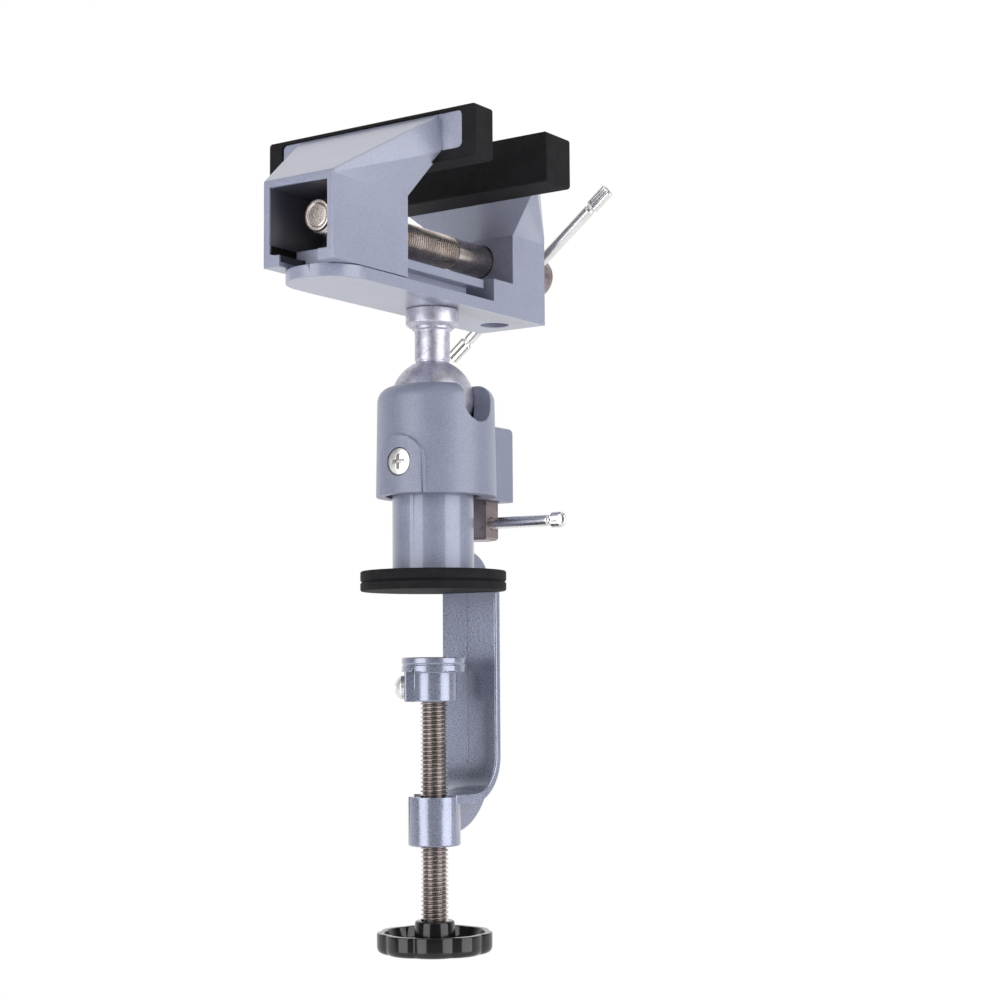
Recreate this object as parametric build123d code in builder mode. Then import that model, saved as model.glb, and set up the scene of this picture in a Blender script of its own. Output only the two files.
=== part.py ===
from build123d import *
import os
from math import cos, pi, radians, sin, sqrt

# Clamp-on table vise with a ball joint, one assembly of separate pieces, in millimetres
# with +Z up. The origin is the centre of the rubber pad's underside, the face that rests
# on the table top, on the axis of the column. The vise screw runs along Y, with the
# sliding jaw at -Y and the spine of the table clamp at +Y, and the jaws are wide along X.
# A height whose name ends in _up is measured from the underside of the vise bed.

# ---------------------------------------------------------------- clearances
running_gap = 0.05        # radial gap of a shaft in its bore
slide_gap = 0.3           # gap round the sliding jaw's guide
seat_gap = 0.1            # radial gap of the ball in its seat
face_gap = 0.05           # gap between faces that turn on each other
fit_gap = 0.02            # gap round a piece fixed in its seat
bar_gap = 0.1             # radial gap of a handle bar in its hole
loose_gap = 0.6           # room round pieces that never touch

# ---------------------------------------------------------------- table clamp casting
column_radius = 14.3
column_top = 58.0
flange_radius = 23.4
flange_bottom = 2.0
flange_top = 5.4
spine_width = 23.6        # width of the flat side that faces the table edge
spine_reach = 21.0        # from the column axis to that side
spine_plate = 3.1
spine_top = 6.4
bend_radius = 12.9        # inside radius of the bend at the bottom
bend_height = -57.5       # height where the bend starts
rib_width = 7.0
rib_rise = 5.0            # how far the rib stands out behind the spine
rib_top = 5.0
rib_run_out = 15.0        # length over which the rib rises from the spine
rib_bend_radius = 23.1
gusset_width = 14.0
gusset_top = 14.0
boss_radius = 9.1         # boss that holds the clamp screw
boss_height = 16.8
boss_drop = 0.6           # how far the boss's top lies below the arm's
seat_pocket_depth = 8.0
lug_top = 44.0            # lug that the locking bolt pulls against
lug_height = 7.5
lug_width = 13.0
cast_edge = 0.8           # rounding of the castings' edges

# ---------------------------------------------------------------- rubber table pad
pad_radius = 25.5
pad_height = 7.0
pad_groove_height = 3.2
pad_groove = 0.4
pad_edge = 0.7

# ---------------------------------------------------------------- ball stem
ball_radius = 14.6
ball_height = 67.0
neck_radius = 6.2
collar_radius = 9.4
collar_height = 6.4
collar_edge = 0.6
bed_height = 99.5         # height of the underside of the vise bed
spigot_radius = 5.0
spigot_length = 7.0
seat_cup_radius = 12.0
seat_cup_top = 57.2

# ---------------------------------------------------------------- ball housing
housing_bottom = 33.0
housing_top = 71.8
housing_radius = 20.6     # outer radius at the top
housing_draft = 0.6       # growth of that radius down to the bottom
housing_shift = 2.0       # the shell's centre lies this far behind the ball's
housing_round = 5.4
housing_wall = 3.2
cavity_top = 57.5
notch_width = 13.4        # slot that lets the neck lie down level
notch_height = 64.9       # centre of the slot's round bottom
screw_plate_radius = 9.3  # arched plate round the housing screw
screw_plate_rise = 1.2
screw_recess_depth = 2.2
screw_boss_radius = 6.0
housing_screw_height = 44.0
housing_screw_head = 4.6
housing_screw_radius = 2.45
housing_screw_length = 13.0
hood_width = 19.0
hood_reach = 37.4         # from the column axis back to the hood's flat end
hood_corner = 2.0
hood_top = 60.0
hood_round = 2.0
hood_wall = 1.5

# ---------------------------------------------------------------- lock bolt and bars
lock_reach = 27.0         # from the column axis back to the bolt axis
lock_radius = 4.0
lock_head_flats = 13.0
lock_head_height = 16.2
lock_bolt_length = 21.5
lock_bar_length = 76.0
lock_bar_drop = 10.2      # from the top of the head down to its cross hole
lock_washer_radius = 6.7
lock_washer_thickness = 1.2
lock_nut_height = 6.5
lock_nut_bottom = 48.5
bar_radius = 2.1
bar_ear_width = 5.8       # flattened end that keeps a bar in its hole
bar_ear_thickness = 3.6
bar_ear_length = 9.0
bar_edge = 0.6

# ---------------------------------------------------------------- vise bed and rail
bed_width = 29.7
bed_plate = 4.2
bed_nose = -71.2
bed_back = 50.2
rail_web_width = 15.6
rail_width = 23.6
rail_bottom_up = 8.7
rail_top_up = 11.9
rail_start = -60.0
rail_end = 15.1
web_end = 9.8
ledge_start = 17.3
ledge_up = 12.4

# ---------------------------------------------------------------- jaws
jaw_plate_length = 77.8
jaw_plate_bottom_up = 44.8
jaw_plate_top_up = 57.7
jaw_plate_thickness = 6.6
jaw_plate_corner = 2.0
flare_width_low = 62.0    # width of the flare at the foot of the jaw plate
flare_width_top = 58.4
jaw_corner_up = 33.5      # top of a jaw's outer face
fixed_face = 29.4         # inner face of the fixed jaw's block
fixed_kink_up = 30.2      # where the fixed jaw starts to flare
fixed_plate_back = 20.8
slide_outer = -72.9
slide_face = -33.3        # inner face of the sliding jaw's block
slide_kink_up = 32.3
slide_plate_back = -35.2
slide_wall = 2.6          # walls of the hollow sliding jaw
slide_roof_up = 30.9      # top of the hollow
slide_depth = 27.9        # depth of the hollow

# ---------------------------------------------------------------- jaw pads
jaw_pad_bottom_up = 41.2
jaw_pad_top_up = 58.9
jaw_pad_end = 5.8         # how far a pad goes past the end of its jaw plate
jaw_pad_lip = 0.8         # how far a pad's rim stands out behind its jaw plate
jaw_pad_corner = 1.2
jaw_pad_edge = 0.6
slide_pad_cover = 2.8     # rubber in front of the jaw plate
fixed_pad_cover = 7.7

# ---------------------------------------------------------------- lead screw
screw_up = 22.2           # axis of the lead screw
screw_radius = 6.0
screw_tip = -63.5
screw_tip_chamfer = 0.9
screw_head_radius = 7.5
screw_head_length = 17.0
screw_bar_place = 10.3    # from the head's start to its cross hole
groove_depth = 1.6
groove_width = 4.2
groove_place = 38.7
thrust_washer_radius = 8.6
thrust_washer_thickness = 0.8
screw_nut_flats = 18.0
screw_nut_height = 8.0
jaw_bar_length = 92.0
jaw_bar_angle = 38.0      # slope of the bar, turned about the screw
access_radius = 5.2       # hole under the bed that reaches the retaining screw
access_depth = 9.5
retaining_radius = 2.5
retaining_tip_radius = 1.9

# ---------------------------------------------------------------- swivel under the rail
swivel_recess_radius = 6.2
swivel_washer_radius = 5.8
swivel_washer_thickness = 1.0
swivel_screw_radius = 2.5
swivel_head_radius = 4.4
swivel_head_height = 2.6
swivel_screw_length = 14.0

# ---------------------------------------------------------------- clamp screw, foot, wheel
clamp_radius = 4.85
clamp_length = 91.7
clamp_groove_place = 5.6  # from the screw's tip to the middle of its groove
clamp_groove_depth = 1.6
foot_top = -23.0
foot_height = 15.3
foot_radius = 11.2
foot_body_radius = 8.2
foot_rim = 5.0
foot_groove = 0.3         # line pressed round the middle of the rim
foot_pad_reach = 10.2     # flat face under the foot screw's head
foot_pad_width = 9.4
foot_pad_corner = 0.8
foot_floor = 4.75         # solid end above the screw's tip
foot_screw_azimuth = 216.5
foot_screw_radius = 2.0
foot_screw_head = 4.1
wheel_radius = 20.0
wheel_height = 7.0
wheel_lobes = 9
wheel_lobe_turn = -15.5    # degrees from +X to the middle of one lobe
wheel_edge = 2.0
wheel_web = 2.6           # thickness under the hollow of the wheel
wheel_rim = 2.6           # thickness of the rim at its thinnest
hub_radius = 6.8
hub_rise = 3.8            # how far the hub stands above the rim
wheel_recess_radius = 5.8
wheel_recess_depth = 2.6
wheel_washer_radius = 5.4
wheel_washer_thickness = 0.8
wheel_screw_radius = 2.0
wheel_screw_head = 3.7
wheel_screw_length = 10.0
hub_grip = 6.3            # length of the clamp screw inside the hub

# ---------------------------------------------------------------- sizes that follow
spine_back = spine_reach + spine_plate
bend_centre = spine_reach - bend_radius
arm_top = bend_height - bend_radius
arm_bottom = arm_top - spine_plate
boss_top = arm_top - boss_drop
boss_bottom = boss_top - boss_height
rib_reach = spine_back + rib_rise
rib_bend_centre = rib_reach - rib_bend_radius
rib_bottom = arm_bottom - 2.1 * rib_rise
rib_bend_height = rib_bottom + rib_bend_radius
lug_bottom = lug_top - lug_height
lock_head_top = lug_bottom - 2 * face_gap - lock_washer_thickness
lock_head_bottom = lock_head_top - lock_head_height
lock_bar_height = lock_head_top - lock_bar_drop
hood_cavity_radius = hood_width / 2 - hood_wall
hood_cavity_top = lug_top + loose_gap
housing_foot_radius = housing_radius + housing_draft
housing_cavity_radius = housing_foot_radius - housing_shift - housing_wall + 0.6
housing_front = housing_shift - housing_foot_radius - screw_plate_rise
screw_seat = housing_front + screw_recess_depth
seat_radius = ball_radius + seat_gap
spigot_top = bed_height + spigot_length
rail_top = bed_height + rail_top_up
slide_foot_up = bed_plate + slide_gap
screw_height = bed_height + screw_up
thrust_seat = bed_back + face_gap
screw_head_start = thrust_seat + thrust_washer_thickness
screw_bar_y = screw_head_start + screw_bar_place
screw_nut_y = slide_outer + slide_depth
slide_plate_front = slide_plate_back + jaw_plate_thickness
fixed_plate_front = fixed_plate_back - jaw_plate_thickness
jaw_pad_length = jaw_plate_length + 2 * jaw_pad_end
foot_bottom = foot_top - foot_height
clamp_tip = foot_top - foot_floor - face_gap
clamp_end = clamp_tip - clamp_length
clamp_groove_height = clamp_tip - clamp_groove_place
clamp_groove_radius = clamp_radius - clamp_groove_depth
clamp_groove_width = 2 * foot_screw_radius + 0.4
wheel_top = clamp_end + hub_grip - hub_rise
wheel_bottom = wheel_top - wheel_height
hub_top = wheel_top + hub_rise

os.makedirs("parts", exist_ok=True)


def save(block, name):
    """Label a finished piece and write it to its own file."""
    block.part.label = name
    export_step(block.part, f"parts/{name}.step")


def corner_radius(flats):
    """Radius through the corners of a hexagon, from its width across the flats."""
    return flats / sqrt(3.0)


def cross_screw(face, head_radius, rim_height, dome, shank_radius, shank_length):
    """A screw whose domed head with a cross recess stands on the plane `face`."""
    section = Plane(origin=face.origin, x_dir=face.x_dir, z_dir=-face.y_dir)
    top = rim_height + dome
    with BuildPart() as screw:
        with BuildSketch(section):
            with BuildLine():
                Polyline(
                    (0, top), (0, -shank_length), (shank_radius, -shank_length),
                    (shank_radius, 0), (head_radius, 0), (head_radius, rim_height),
                )
                TangentArc((0, top), (head_radius, rim_height), tangent=(1, 0))
            make_face()
        revolve(axis=Axis(face.origin, face.z_dir))
        with BuildSketch(face.offset(top)):
            Rectangle(1.15 * head_radius, 0.3 * head_radius)
            Rectangle(0.3 * head_radius, 1.15 * head_radius)
        extrude(amount=-0.55 * head_radius, taper=8, mode=Mode.SUBTRACT)
    return screw.part


def handle_bar(centre, direction, length):
    """A round bar with both ends flattened into ears, centred on a point."""
    across = Vector(0, 1, 0).cross(Vector(*direction))
    middle = Plane(origin=centre, x_dir=across, z_dir=direction)
    along = Axis(centre, direction)
    with BuildPart() as bar:
        with BuildSketch(middle):
            Circle(bar_radius)
        extrude(amount=length / 2 - bar_ear_length, both=True)
        for way in (-1, 1):
            with BuildSketch(middle.offset(way * (length - bar_ear_length) / 2)):
                Rectangle(bar_ear_width, bar_ear_thickness)
            extrude(amount=bar_ear_length / 2, both=True)
        fillet(bar.edges().filter_by(along).filter_by(GeomType.LINE), 1.2)
        chamfer(bar.faces().sort_by(along)[0].edges(), bar_edge)
        chamfer(bar.faces().sort_by(along)[-1].edges(), bar_edge)
    return bar.part


def jaw_body(outer, inner, plate_back, kink_up, foot_up):
    """The solid of one jaw: a square block that fans out into the wide jaw plate.

    It is the space shared by its outlines from the side, from the end and from above.
    outer and inner are the block's two faces and plate_back is the back of the jaw
    plate, all along Y. kink_up is where the flare leaves the block.
    """
    toward_gap = 1 if inner > outer else -1
    plate_front = plate_back + toward_gap * jaw_plate_thickness
    half = bed_width / 2
    low = bed_height + foot_up
    kink = bed_height + kink_up
    plate_bottom = bed_height + jaw_plate_bottom_up
    plate_top = bed_height + jaw_plate_top_up
    fan = (flare_width_low / 2 - half) / (plate_back - outer)
    far_half = half + fan * (plate_front - outer)
    with BuildPart() as body:
        with BuildSketch(Plane.YZ):
            Polygon(
                (outer, low), (outer, bed_height + jaw_corner_up), (plate_back, plate_top),
                (plate_front, plate_top), (plate_front, plate_bottom), (plate_back, plate_bottom),
                (inner, kink), (inner, low),
                align=None,
            )
        extrude(amount=flare_width_low, both=True)
        with BuildSketch(Plane.XZ):
            Polygon(
                (-half, low), (half, low), (half, kink), (flare_width_low / 2, plate_bottom),
                (flare_width_top / 2, plate_top), (-flare_width_top / 2, plate_top),
                (-flare_width_low / 2, plate_bottom), (-half, kink),
                align=None,
            )
        extrude(amount=abs(outer) + abs(plate_front), both=True, mode=Mode.INTERSECT)
        with BuildSketch(Plane.XY.offset(low)) as plan:
            Polygon(
                (-half, outer), (half, outer), (far_half, plate_front), (-far_half, plate_front),
                align=None,
            )
            fillet(plan.vertices().group_by(Axis.Y)[0 if toward_gap > 0 else -1], cast_edge)
        extrude(amount=jaw_plate_top_up, mode=Mode.INTERSECT)
        with BuildSketch(Plane.XZ.offset(-plate_back)):
            with Locations((0, (plate_bottom + plate_top) / 2)):
                RectangleRounded(jaw_plate_length, plate_top - plate_bottom, jaw_plate_corner)
        extrude(amount=-toward_gap * jaw_plate_thickness)
    return body.part


def jaw_pad(back, front, jaw):
    """A rubber boot over one jaw plate: a bar with the jaw's own shape taken out."""
    middle_up = (jaw_pad_bottom_up + jaw_pad_top_up) / 2
    with BuildPart() as boot:
        with BuildSketch(Plane.XZ.offset(-back)):
            with Locations((0, bed_height + middle_up)):
                RectangleRounded(jaw_pad_length, jaw_pad_top_up - jaw_pad_bottom_up, jaw_pad_corner)
        extrude(amount=back - front)
        gripping_face = boot.faces().filter_by(Plane.XZ).sort_by(Axis.Y)[-1 if front > back else 0]
        fillet(gripping_face.edges(), jaw_pad_edge)
        # the boot's rim stands behind the plate, and is open there over the whole plate
        with BuildSketch(Plane.XZ.offset(-back)):
            with Locations((0, bed_height + (jaw_plate_bottom_up + jaw_plate_top_up) / 2)):
                RectangleRounded(
                    jaw_plate_length, jaw_plate_top_up - jaw_plate_bottom_up, jaw_plate_corner
                )
        extrude(amount=jaw_pad_lip if back > front else -jaw_pad_lip, mode=Mode.SUBTRACT)
        add(jaw, mode=Mode.SUBTRACT)
    return boot


# ================================================================ clamp frame
# column, flange, spine, bent arm and screw boss are one casting
with BuildPart() as clamp_frame:
    # flat plate of the spine, its bend and the arm under the table
    with BuildSketch(Plane.YZ):
        with BuildLine():
            Polyline(
                (spine_reach, bend_height), (spine_reach, spine_top),
                (spine_back, spine_top), (spine_back, bend_height),
            )
            CenterArc((bend_centre, bend_height), bend_radius + spine_plate, 0, -90)
            Polyline((bend_centre, arm_bottom), (0, arm_bottom), (0, arm_top), (bend_centre, arm_top))
            CenterArc((bend_centre, bend_height), bend_radius, -90, 90)
        make_face()
    extrude(amount=spine_width / 2, both=True)
    # the arm narrows to the boss, seen from above
    with BuildSketch(Plane.XY.offset(arm_bottom - 1)):
        for side in (-1, 1):
            Polygon(
                (side * boss_radius, 0), (side * spine_width, 0),
                (side * spine_width, bend_centre + bend_radius / 2),
                (side * spine_width / 2, bend_centre + bend_radius / 2),
                align=None,
            )
    extrude(amount=bend_radius / 2, mode=Mode.SUBTRACT)
    fillet(clamp_frame.edges().filter_by(GeomType.LINE).filter_by(Axis.Z), cast_edge)
    # stiffening rib along the back of the spine, round the bend and into the boss
    with BuildSketch(Plane.YZ):
        with BuildLine():
            Polyline(
                (spine_reach + 1, bend_height), (spine_reach + 1, rib_top), (spine_back, rib_top),
                (rib_reach, rib_top - rib_run_out), (rib_reach, rib_bend_height),
            )
            CenterArc((rib_bend_centre, rib_bend_height), rib_bend_radius, 0, -90)
            Polyline(
                (rib_bend_centre, rib_bottom), (0, rib_bottom), (0, arm_top - 1), (bend_centre, arm_top - 1)
            )
            CenterArc((bend_centre, bend_height), bend_radius + 1, -90, 90)
        make_face()
    extrude(amount=rib_width / 2, both=True)
    # screw boss
    with BuildSketch(Plane.XY.offset(boss_top)):
        Circle(boss_radius)
    extrude(amount=-boss_height)
    fillet(clamp_frame.faces().sort_by(Axis.Z)[0].edges(), cast_edge)
    # column and flange
    with BuildSketch(Plane.XY.offset(flange_bottom)):
        Circle(flange_radius)
    extrude(amount=flange_top - flange_bottom)
    with BuildSketch(Plane.XY.offset(flange_bottom)):
        Circle(column_radius)
    extrude(amount=column_top - flange_bottom)
    # gusset between column and spine
    with BuildSketch(Plane.YZ):
        with BuildLine():
            Polyline(
                (spine_back, rib_top), (spine_back, flange_top - 1), (0, flange_top - 1),
                (0, gusset_top), (column_radius, gusset_top),
            )
            RadiusArc((column_radius, gusset_top), (spine_back, rib_top), 12.0)
        make_face()
    extrude(amount=gusset_width / 2, both=True)
    # lug for the locking bolt
    with BuildSketch(Plane.XY.offset(lug_bottom)):
        with Locations((0, lock_reach / 2)):
            Rectangle(lug_width, lock_reach)
        with Locations((0, lock_reach)):
            Circle(lug_width / 2)
    extrude(amount=lug_height)
    # room round the ball, pocket for the ball seat, and the holes of the lug, the boss and the housing screw
    with Locations((0, 0, ball_height)):
        Sphere(ball_radius + slide_gap, mode=Mode.SUBTRACT)
    with BuildSketch(Plane.XY.offset(column_top)):
        Circle(seat_cup_radius)
    extrude(amount=-seat_pocket_depth, mode=Mode.SUBTRACT)
    with BuildSketch(Plane.XY.offset(lug_top)):
        with Locations((0, lock_reach)):
            Circle(lock_radius + slide_gap)
    extrude(amount=-lug_height, mode=Mode.SUBTRACT)
    with BuildSketch(Plane.XY.offset(arm_top + 1)):
        Circle(clamp_radius + running_gap)
    extrude(amount=boss_bottom - arm_top - 2, mode=Mode.SUBTRACT)
    with BuildSketch(Plane.XZ):
        with Locations((0, housing_screw_height)):
            Circle(housing_screw_radius + fit_gap)
    extrude(amount=column_radius + 1, mode=Mode.SUBTRACT)
save(clamp_frame, "clamp_frame")

# ================================================================ rubber table pad
# a boot that wraps the flange above and below, open for the column and the spine
with BuildPart() as table_pad:
    with BuildSketch(Plane.XY):
        Circle(pad_radius)
    extrude(amount=pad_height)
    fillet(table_pad.edges().filter_by(GeomType.CIRCLE), pad_edge)
    with BuildSketch(Plane.XZ):
        with Locations((pad_radius, pad_groove_height)):
            Rectangle(2 * pad_groove, 2 * pad_groove, rotation=45)
    revolve(axis=Axis.Z, mode=Mode.SUBTRACT)
    with BuildSketch(Plane.XY):
        with Locations((0, spine_reach - slide_gap)):
            Rectangle(spine_width + 2 * slide_gap, pad_radius, align=(Align.CENTER, Align.MIN))
    extrude(amount=pad_height, mode=Mode.SUBTRACT)
    add(clamp_frame.part, mode=Mode.SUBTRACT)
save(table_pad, "table_pad")

# ================================================================ ball seat cup
with BuildPart() as ball_seat_cup:
    with BuildSketch(Plane.XY.offset(column_top - seat_pocket_depth)):
        Circle(seat_cup_radius - fit_gap)
    extrude(amount=seat_cup_top - column_top + seat_pocket_depth)
    with Locations((0, 0, ball_height)):
        Sphere(seat_radius, mode=Mode.SUBTRACT)
save(ball_seat_cup, "ball_seat_cup")

# ================================================================ ball housing
with BuildPart() as screw_plate:
    with BuildSketch(Plane.XZ):
        with Locations((0, housing_screw_height)):
            Circle(screw_plate_radius)
        with Locations((0, housing_bottom)):
            Rectangle(
                2 * screw_plate_radius, housing_screw_height - housing_bottom,
                align=(Align.CENTER, Align.MIN),
            )
    extrude(amount=2 * housing_foot_radius)
    with BuildSketch(Plane.XY.offset(housing_bottom)):
        with Locations((0, housing_shift)):
            Circle(housing_foot_radius + screw_plate_rise)
    extrude(amount=housing_top - housing_bottom, mode=Mode.INTERSECT)

with BuildPart() as ball_housing:
    for height, radius in ((housing_bottom, housing_foot_radius), (housing_top, housing_radius)):
        with BuildSketch(Plane.XY.offset(height)):
            with Locations((0, housing_shift)):
                Circle(radius)
    loft()
    fillet(ball_housing.edges().filter_by(GeomType.CIRCLE).sort_by(Axis.Z)[-1], housing_round)
    # hood over the locking bolt
    with BuildSketch(Plane.XY.offset(housing_bottom)) as hood_plan:
        Rectangle(hood_width, hood_reach, align=(Align.CENTER, Align.MIN))
        fillet(hood_plan.vertices().group_by(Axis.Y)[-1], hood_corner)
    extrude(amount=hood_top - housing_bottom)
    hood_rim = ball_housing.edges().filter_by_position(Axis.Z, hood_top - 0.01, hood_top + 0.01)
    fillet(hood_rim.filter_by(lambda edge: edge.center().Y > lock_reach - 6), hood_round)
    add(screw_plate.part)
    # hollow for the column, the ball's seat and the lug
    with BuildSketch(Plane.XY.offset(housing_bottom)):
        Circle(housing_cavity_radius)
    extrude(amount=cavity_top - housing_bottom, mode=Mode.SUBTRACT)
    with BuildSketch(Plane.XY.offset(housing_bottom)):
        Rectangle(2 * hood_cavity_radius, lock_reach, align=(Align.CENTER, Align.MIN))
        with Locations((0, lock_reach)):
            Circle(hood_cavity_radius)
    extrude(amount=hood_cavity_top - housing_bottom, mode=Mode.SUBTRACT)
    with BuildSketch(Plane.XY.offset(housing_bottom)):
        Circle(seat_radius)
    extrude(amount=ball_height - housing_bottom, mode=Mode.SUBTRACT)
    with Locations((0, 0, ball_height)):
        Sphere(seat_radius, mode=Mode.SUBTRACT)
    # boss behind the housing screw
    with BuildSketch(Plane.XZ.offset(column_radius + seat_gap)):
        with Locations((0, housing_screw_height)):
            Circle(screw_boss_radius)
    extrude(amount=housing_cavity_radius + housing_wall / 2 - column_radius - seat_gap)
    with BuildSketch(Plane.XZ):
        with Locations((0, housing_screw_height)):
            Circle(housing_screw_radius + fit_gap)
    extrude(amount=-housing_front, mode=Mode.SUBTRACT)
    with BuildSketch(Plane.XZ.offset(-screw_seat)):
        with Locations((0, housing_screw_height)):
            Circle(housing_screw_head + slide_gap)
    extrude(amount=housing_radius, mode=Mode.SUBTRACT)
    # slot toward +X that lets the neck lie down level
    with BuildSketch(Plane.YZ):
        with Locations((0, notch_height)):
            Circle(notch_width / 2)
            Rectangle(notch_width, housing_top, align=(Align.CENTER, Align.MIN))
    extrude(amount=2 * housing_radius, mode=Mode.SUBTRACT)
    # pocket that holds the nut, open toward the column, and the bolt's bore
    with BuildSketch(Plane.XY.offset(lock_nut_bottom - face_gap)):
        with Locations((0, column_radius)):
            Rectangle(
                lock_head_flats + 2 * bar_gap,
                lock_reach + corner_radius(lock_head_flats) + bar_gap - column_radius,
                align=(Align.CENTER, Align.MIN),
            )
    extrude(amount=lock_nut_height + 2 * face_gap, mode=Mode.SUBTRACT)
    with BuildSketch(Plane.XY.offset(housing_bottom)):
        with Locations((0, lock_reach)):
            Circle(lock_radius + slide_gap)
    extrude(amount=lock_head_top + lock_bolt_length + loose_gap - housing_bottom, mode=Mode.SUBTRACT)
save(ball_housing, "ball_housing")

# ================================================================ housing screw
screw_face = Plane(origin=(0, screw_seat, housing_screw_height), x_dir=(1, 0, 0), z_dir=(0, -1, 0))
with BuildPart() as housing_screw:
    add(
        cross_screw(
            screw_face, housing_screw_head, 1.4, 0.9, housing_screw_radius, housing_screw_length
        )
    )
save(housing_screw, "housing_screw")

# ================================================================ lock bolt, washer and nut
with BuildPart() as lock_bolt:
    with BuildSketch(Plane.XY.offset(lock_head_bottom)):
        with Locations((0, lock_reach)):
            RegularPolygon(corner_radius(lock_head_flats), 6, rotation=90)
    extrude(amount=lock_head_height)
    chamfer(lock_bolt.faces().sort_by(Axis.Z)[0].edges(), 0.7)
    with BuildSketch(Plane.XY.offset(lock_head_top)):
        with Locations((0, lock_reach)):
            Circle(lock_radius)
    extrude(amount=lock_bolt_length)
    chamfer(lock_bolt.faces().sort_by(Axis.Z)[-1].edges(), 0.8)
    with BuildSketch(Plane.YZ):
        with Locations((lock_reach, lock_bar_height)):
            Circle(bar_radius + bar_gap)
    extrude(amount=lock_head_flats, both=True, mode=Mode.SUBTRACT)
save(lock_bolt, "lock_bolt")

with BuildPart() as lock_washer:
    with BuildSketch(Plane.XY.offset(lock_head_top + face_gap)):
        with Locations((0, lock_reach)):
            Circle(lock_washer_radius)
            Circle(lock_radius + slide_gap, mode=Mode.SUBTRACT)
    extrude(amount=lock_washer_thickness)
save(lock_washer, "lock_washer")

with BuildPart() as lock_nut:
    with BuildSketch(Plane.XY.offset(lock_nut_bottom)):
        with Locations((0, lock_reach)):
            RegularPolygon(corner_radius(lock_head_flats), 6, rotation=90)
            Circle(lock_radius + running_gap, mode=Mode.SUBTRACT)
    extrude(amount=lock_nut_height)
save(lock_nut, "lock_nut")

# ================================================================ handle bars
with BuildPart() as lock_handle:
    add(handle_bar((0, lock_reach, lock_bar_height), (1, 0, 0), lock_bar_length))
save(lock_handle, "lock_handle")

jaw_bar_direction = (cos(radians(jaw_bar_angle)), 0, sin(radians(jaw_bar_angle)))
with BuildPart() as jaw_handle:
    add(handle_bar((0, screw_bar_y, screw_height), jaw_bar_direction, jaw_bar_length))
save(jaw_handle, "jaw_handle")

# ================================================================ ball stem
# ball, neck, collar and spigot are turned from one bar
with BuildPart() as ball_stem:
    with Locations((0, 0, ball_height)):
        Sphere(ball_radius)
    with BuildSketch(Plane.XY.offset(ball_height)):
        Circle(neck_radius)
    extrude(amount=bed_height - collar_height - ball_height)
    with BuildSketch(Plane.XY.offset(bed_height - collar_height)):
        Circle(collar_radius)
    extrude(amount=collar_height - face_gap)
    collar_rims = ball_stem.edges().filter_by(GeomType.CIRCLE).filter_by(
        lambda edge: abs(edge.radius - collar_radius) < 0.01
    )
    chamfer(collar_rims, collar_edge)
    with BuildSketch(Plane.XY.offset(bed_height - collar_height / 2)):
        Circle(spigot_radius)
    extrude(amount=spigot_length + collar_height / 2)
    with BuildSketch(Plane.XY.offset(spigot_top)):
        Circle(swivel_screw_radius + fit_gap)
    extrude(amount=-swivel_screw_length, mode=Mode.SUBTRACT)
save(ball_stem, "ball_stem")

with BuildPart() as stem_washer:
    with BuildSketch(Plane.XY.offset(spigot_top)):
        Circle(swivel_washer_radius)
        Circle(swivel_screw_radius + fit_gap, mode=Mode.SUBTRACT)
    extrude(amount=swivel_washer_thickness)
save(stem_washer, "stem_washer")

with BuildPart() as stem_screw:
    add(
        cross_screw(
            Plane.XY.offset(spigot_top + swivel_washer_thickness), swivel_head_radius,
            swivel_head_height - 0.8, 0.8, swivel_screw_radius,
            swivel_screw_length + swivel_washer_thickness,
        )
    )
save(stem_screw, "stem_screw")

# ================================================================ jaw base
# bed plate, guide rail and fixed jaw are one casting
nose_centre = bed_nose + bed_width / 2
with BuildPart() as jaw_base:
    add(jaw_body(bed_back, fixed_face, fixed_plate_back, fixed_kink_up, 0))
    with BuildSketch(Plane.XY.offset(bed_height)):
        with Locations((0, nose_centre)):
            Circle(bed_width / 2)
            Rectangle(bed_width, bed_back - nose_centre - cast_edge, align=(Align.CENTER, Align.MIN))
    extrude(amount=bed_plate)
    with BuildSketch(Plane.XY.offset(bed_height + bed_plate - 1)):
        with Locations((0, rail_start)):
            Rectangle(rail_web_width, web_end - rail_start, align=(Align.CENTER, Align.MIN))
    extrude(amount=rail_bottom_up - bed_plate + 1)
    with BuildSketch(Plane.XY.offset(bed_height + rail_bottom_up)):
        with Locations((0, rail_start)):
            Rectangle(rail_width, rail_end - rail_start, align=(Align.CENTER, Align.MIN))
    extrude(amount=rail_top_up - rail_bottom_up)
    with BuildSketch(Plane.XY.offset(bed_height)):
        with Locations((0, ledge_start)):
            Rectangle(bed_width, fixed_face + 1 - ledge_start, align=(Align.CENTER, Align.MIN))
    extrude(amount=ledge_up)
    # swivel bore and its recess in the rail
    with BuildSketch(Plane.XY.offset(bed_height)):
        Circle(spigot_radius + running_gap)
    extrude(amount=rail_top_up, mode=Mode.SUBTRACT)
    with BuildSketch(Plane.XY.offset(spigot_top - face_gap)):
        Circle(swivel_recess_radius)
    extrude(amount=rail_top_up, mode=Mode.SUBTRACT)
    # bore of the lead screw, and the holes that hold and reach the retaining screw
    with BuildSketch(Plane.XZ.offset(-bed_back)):
        with Locations((0, screw_height)):
            Circle(screw_radius + running_gap)
    extrude(amount=bed_back - fixed_face + 1, mode=Mode.SUBTRACT)
    with BuildSketch(Plane.XY.offset(bed_height)):
        with Locations((0, groove_place)):
            Circle(access_radius)
    extrude(amount=access_depth, mode=Mode.SUBTRACT)
    with BuildSketch(Plane.XY.offset(bed_height)):
        with Locations((0, groove_place)):
            Circle(retaining_radius + fit_gap)
    extrude(amount=screw_up, mode=Mode.SUBTRACT)
save(jaw_base, "jaw_base")

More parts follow.
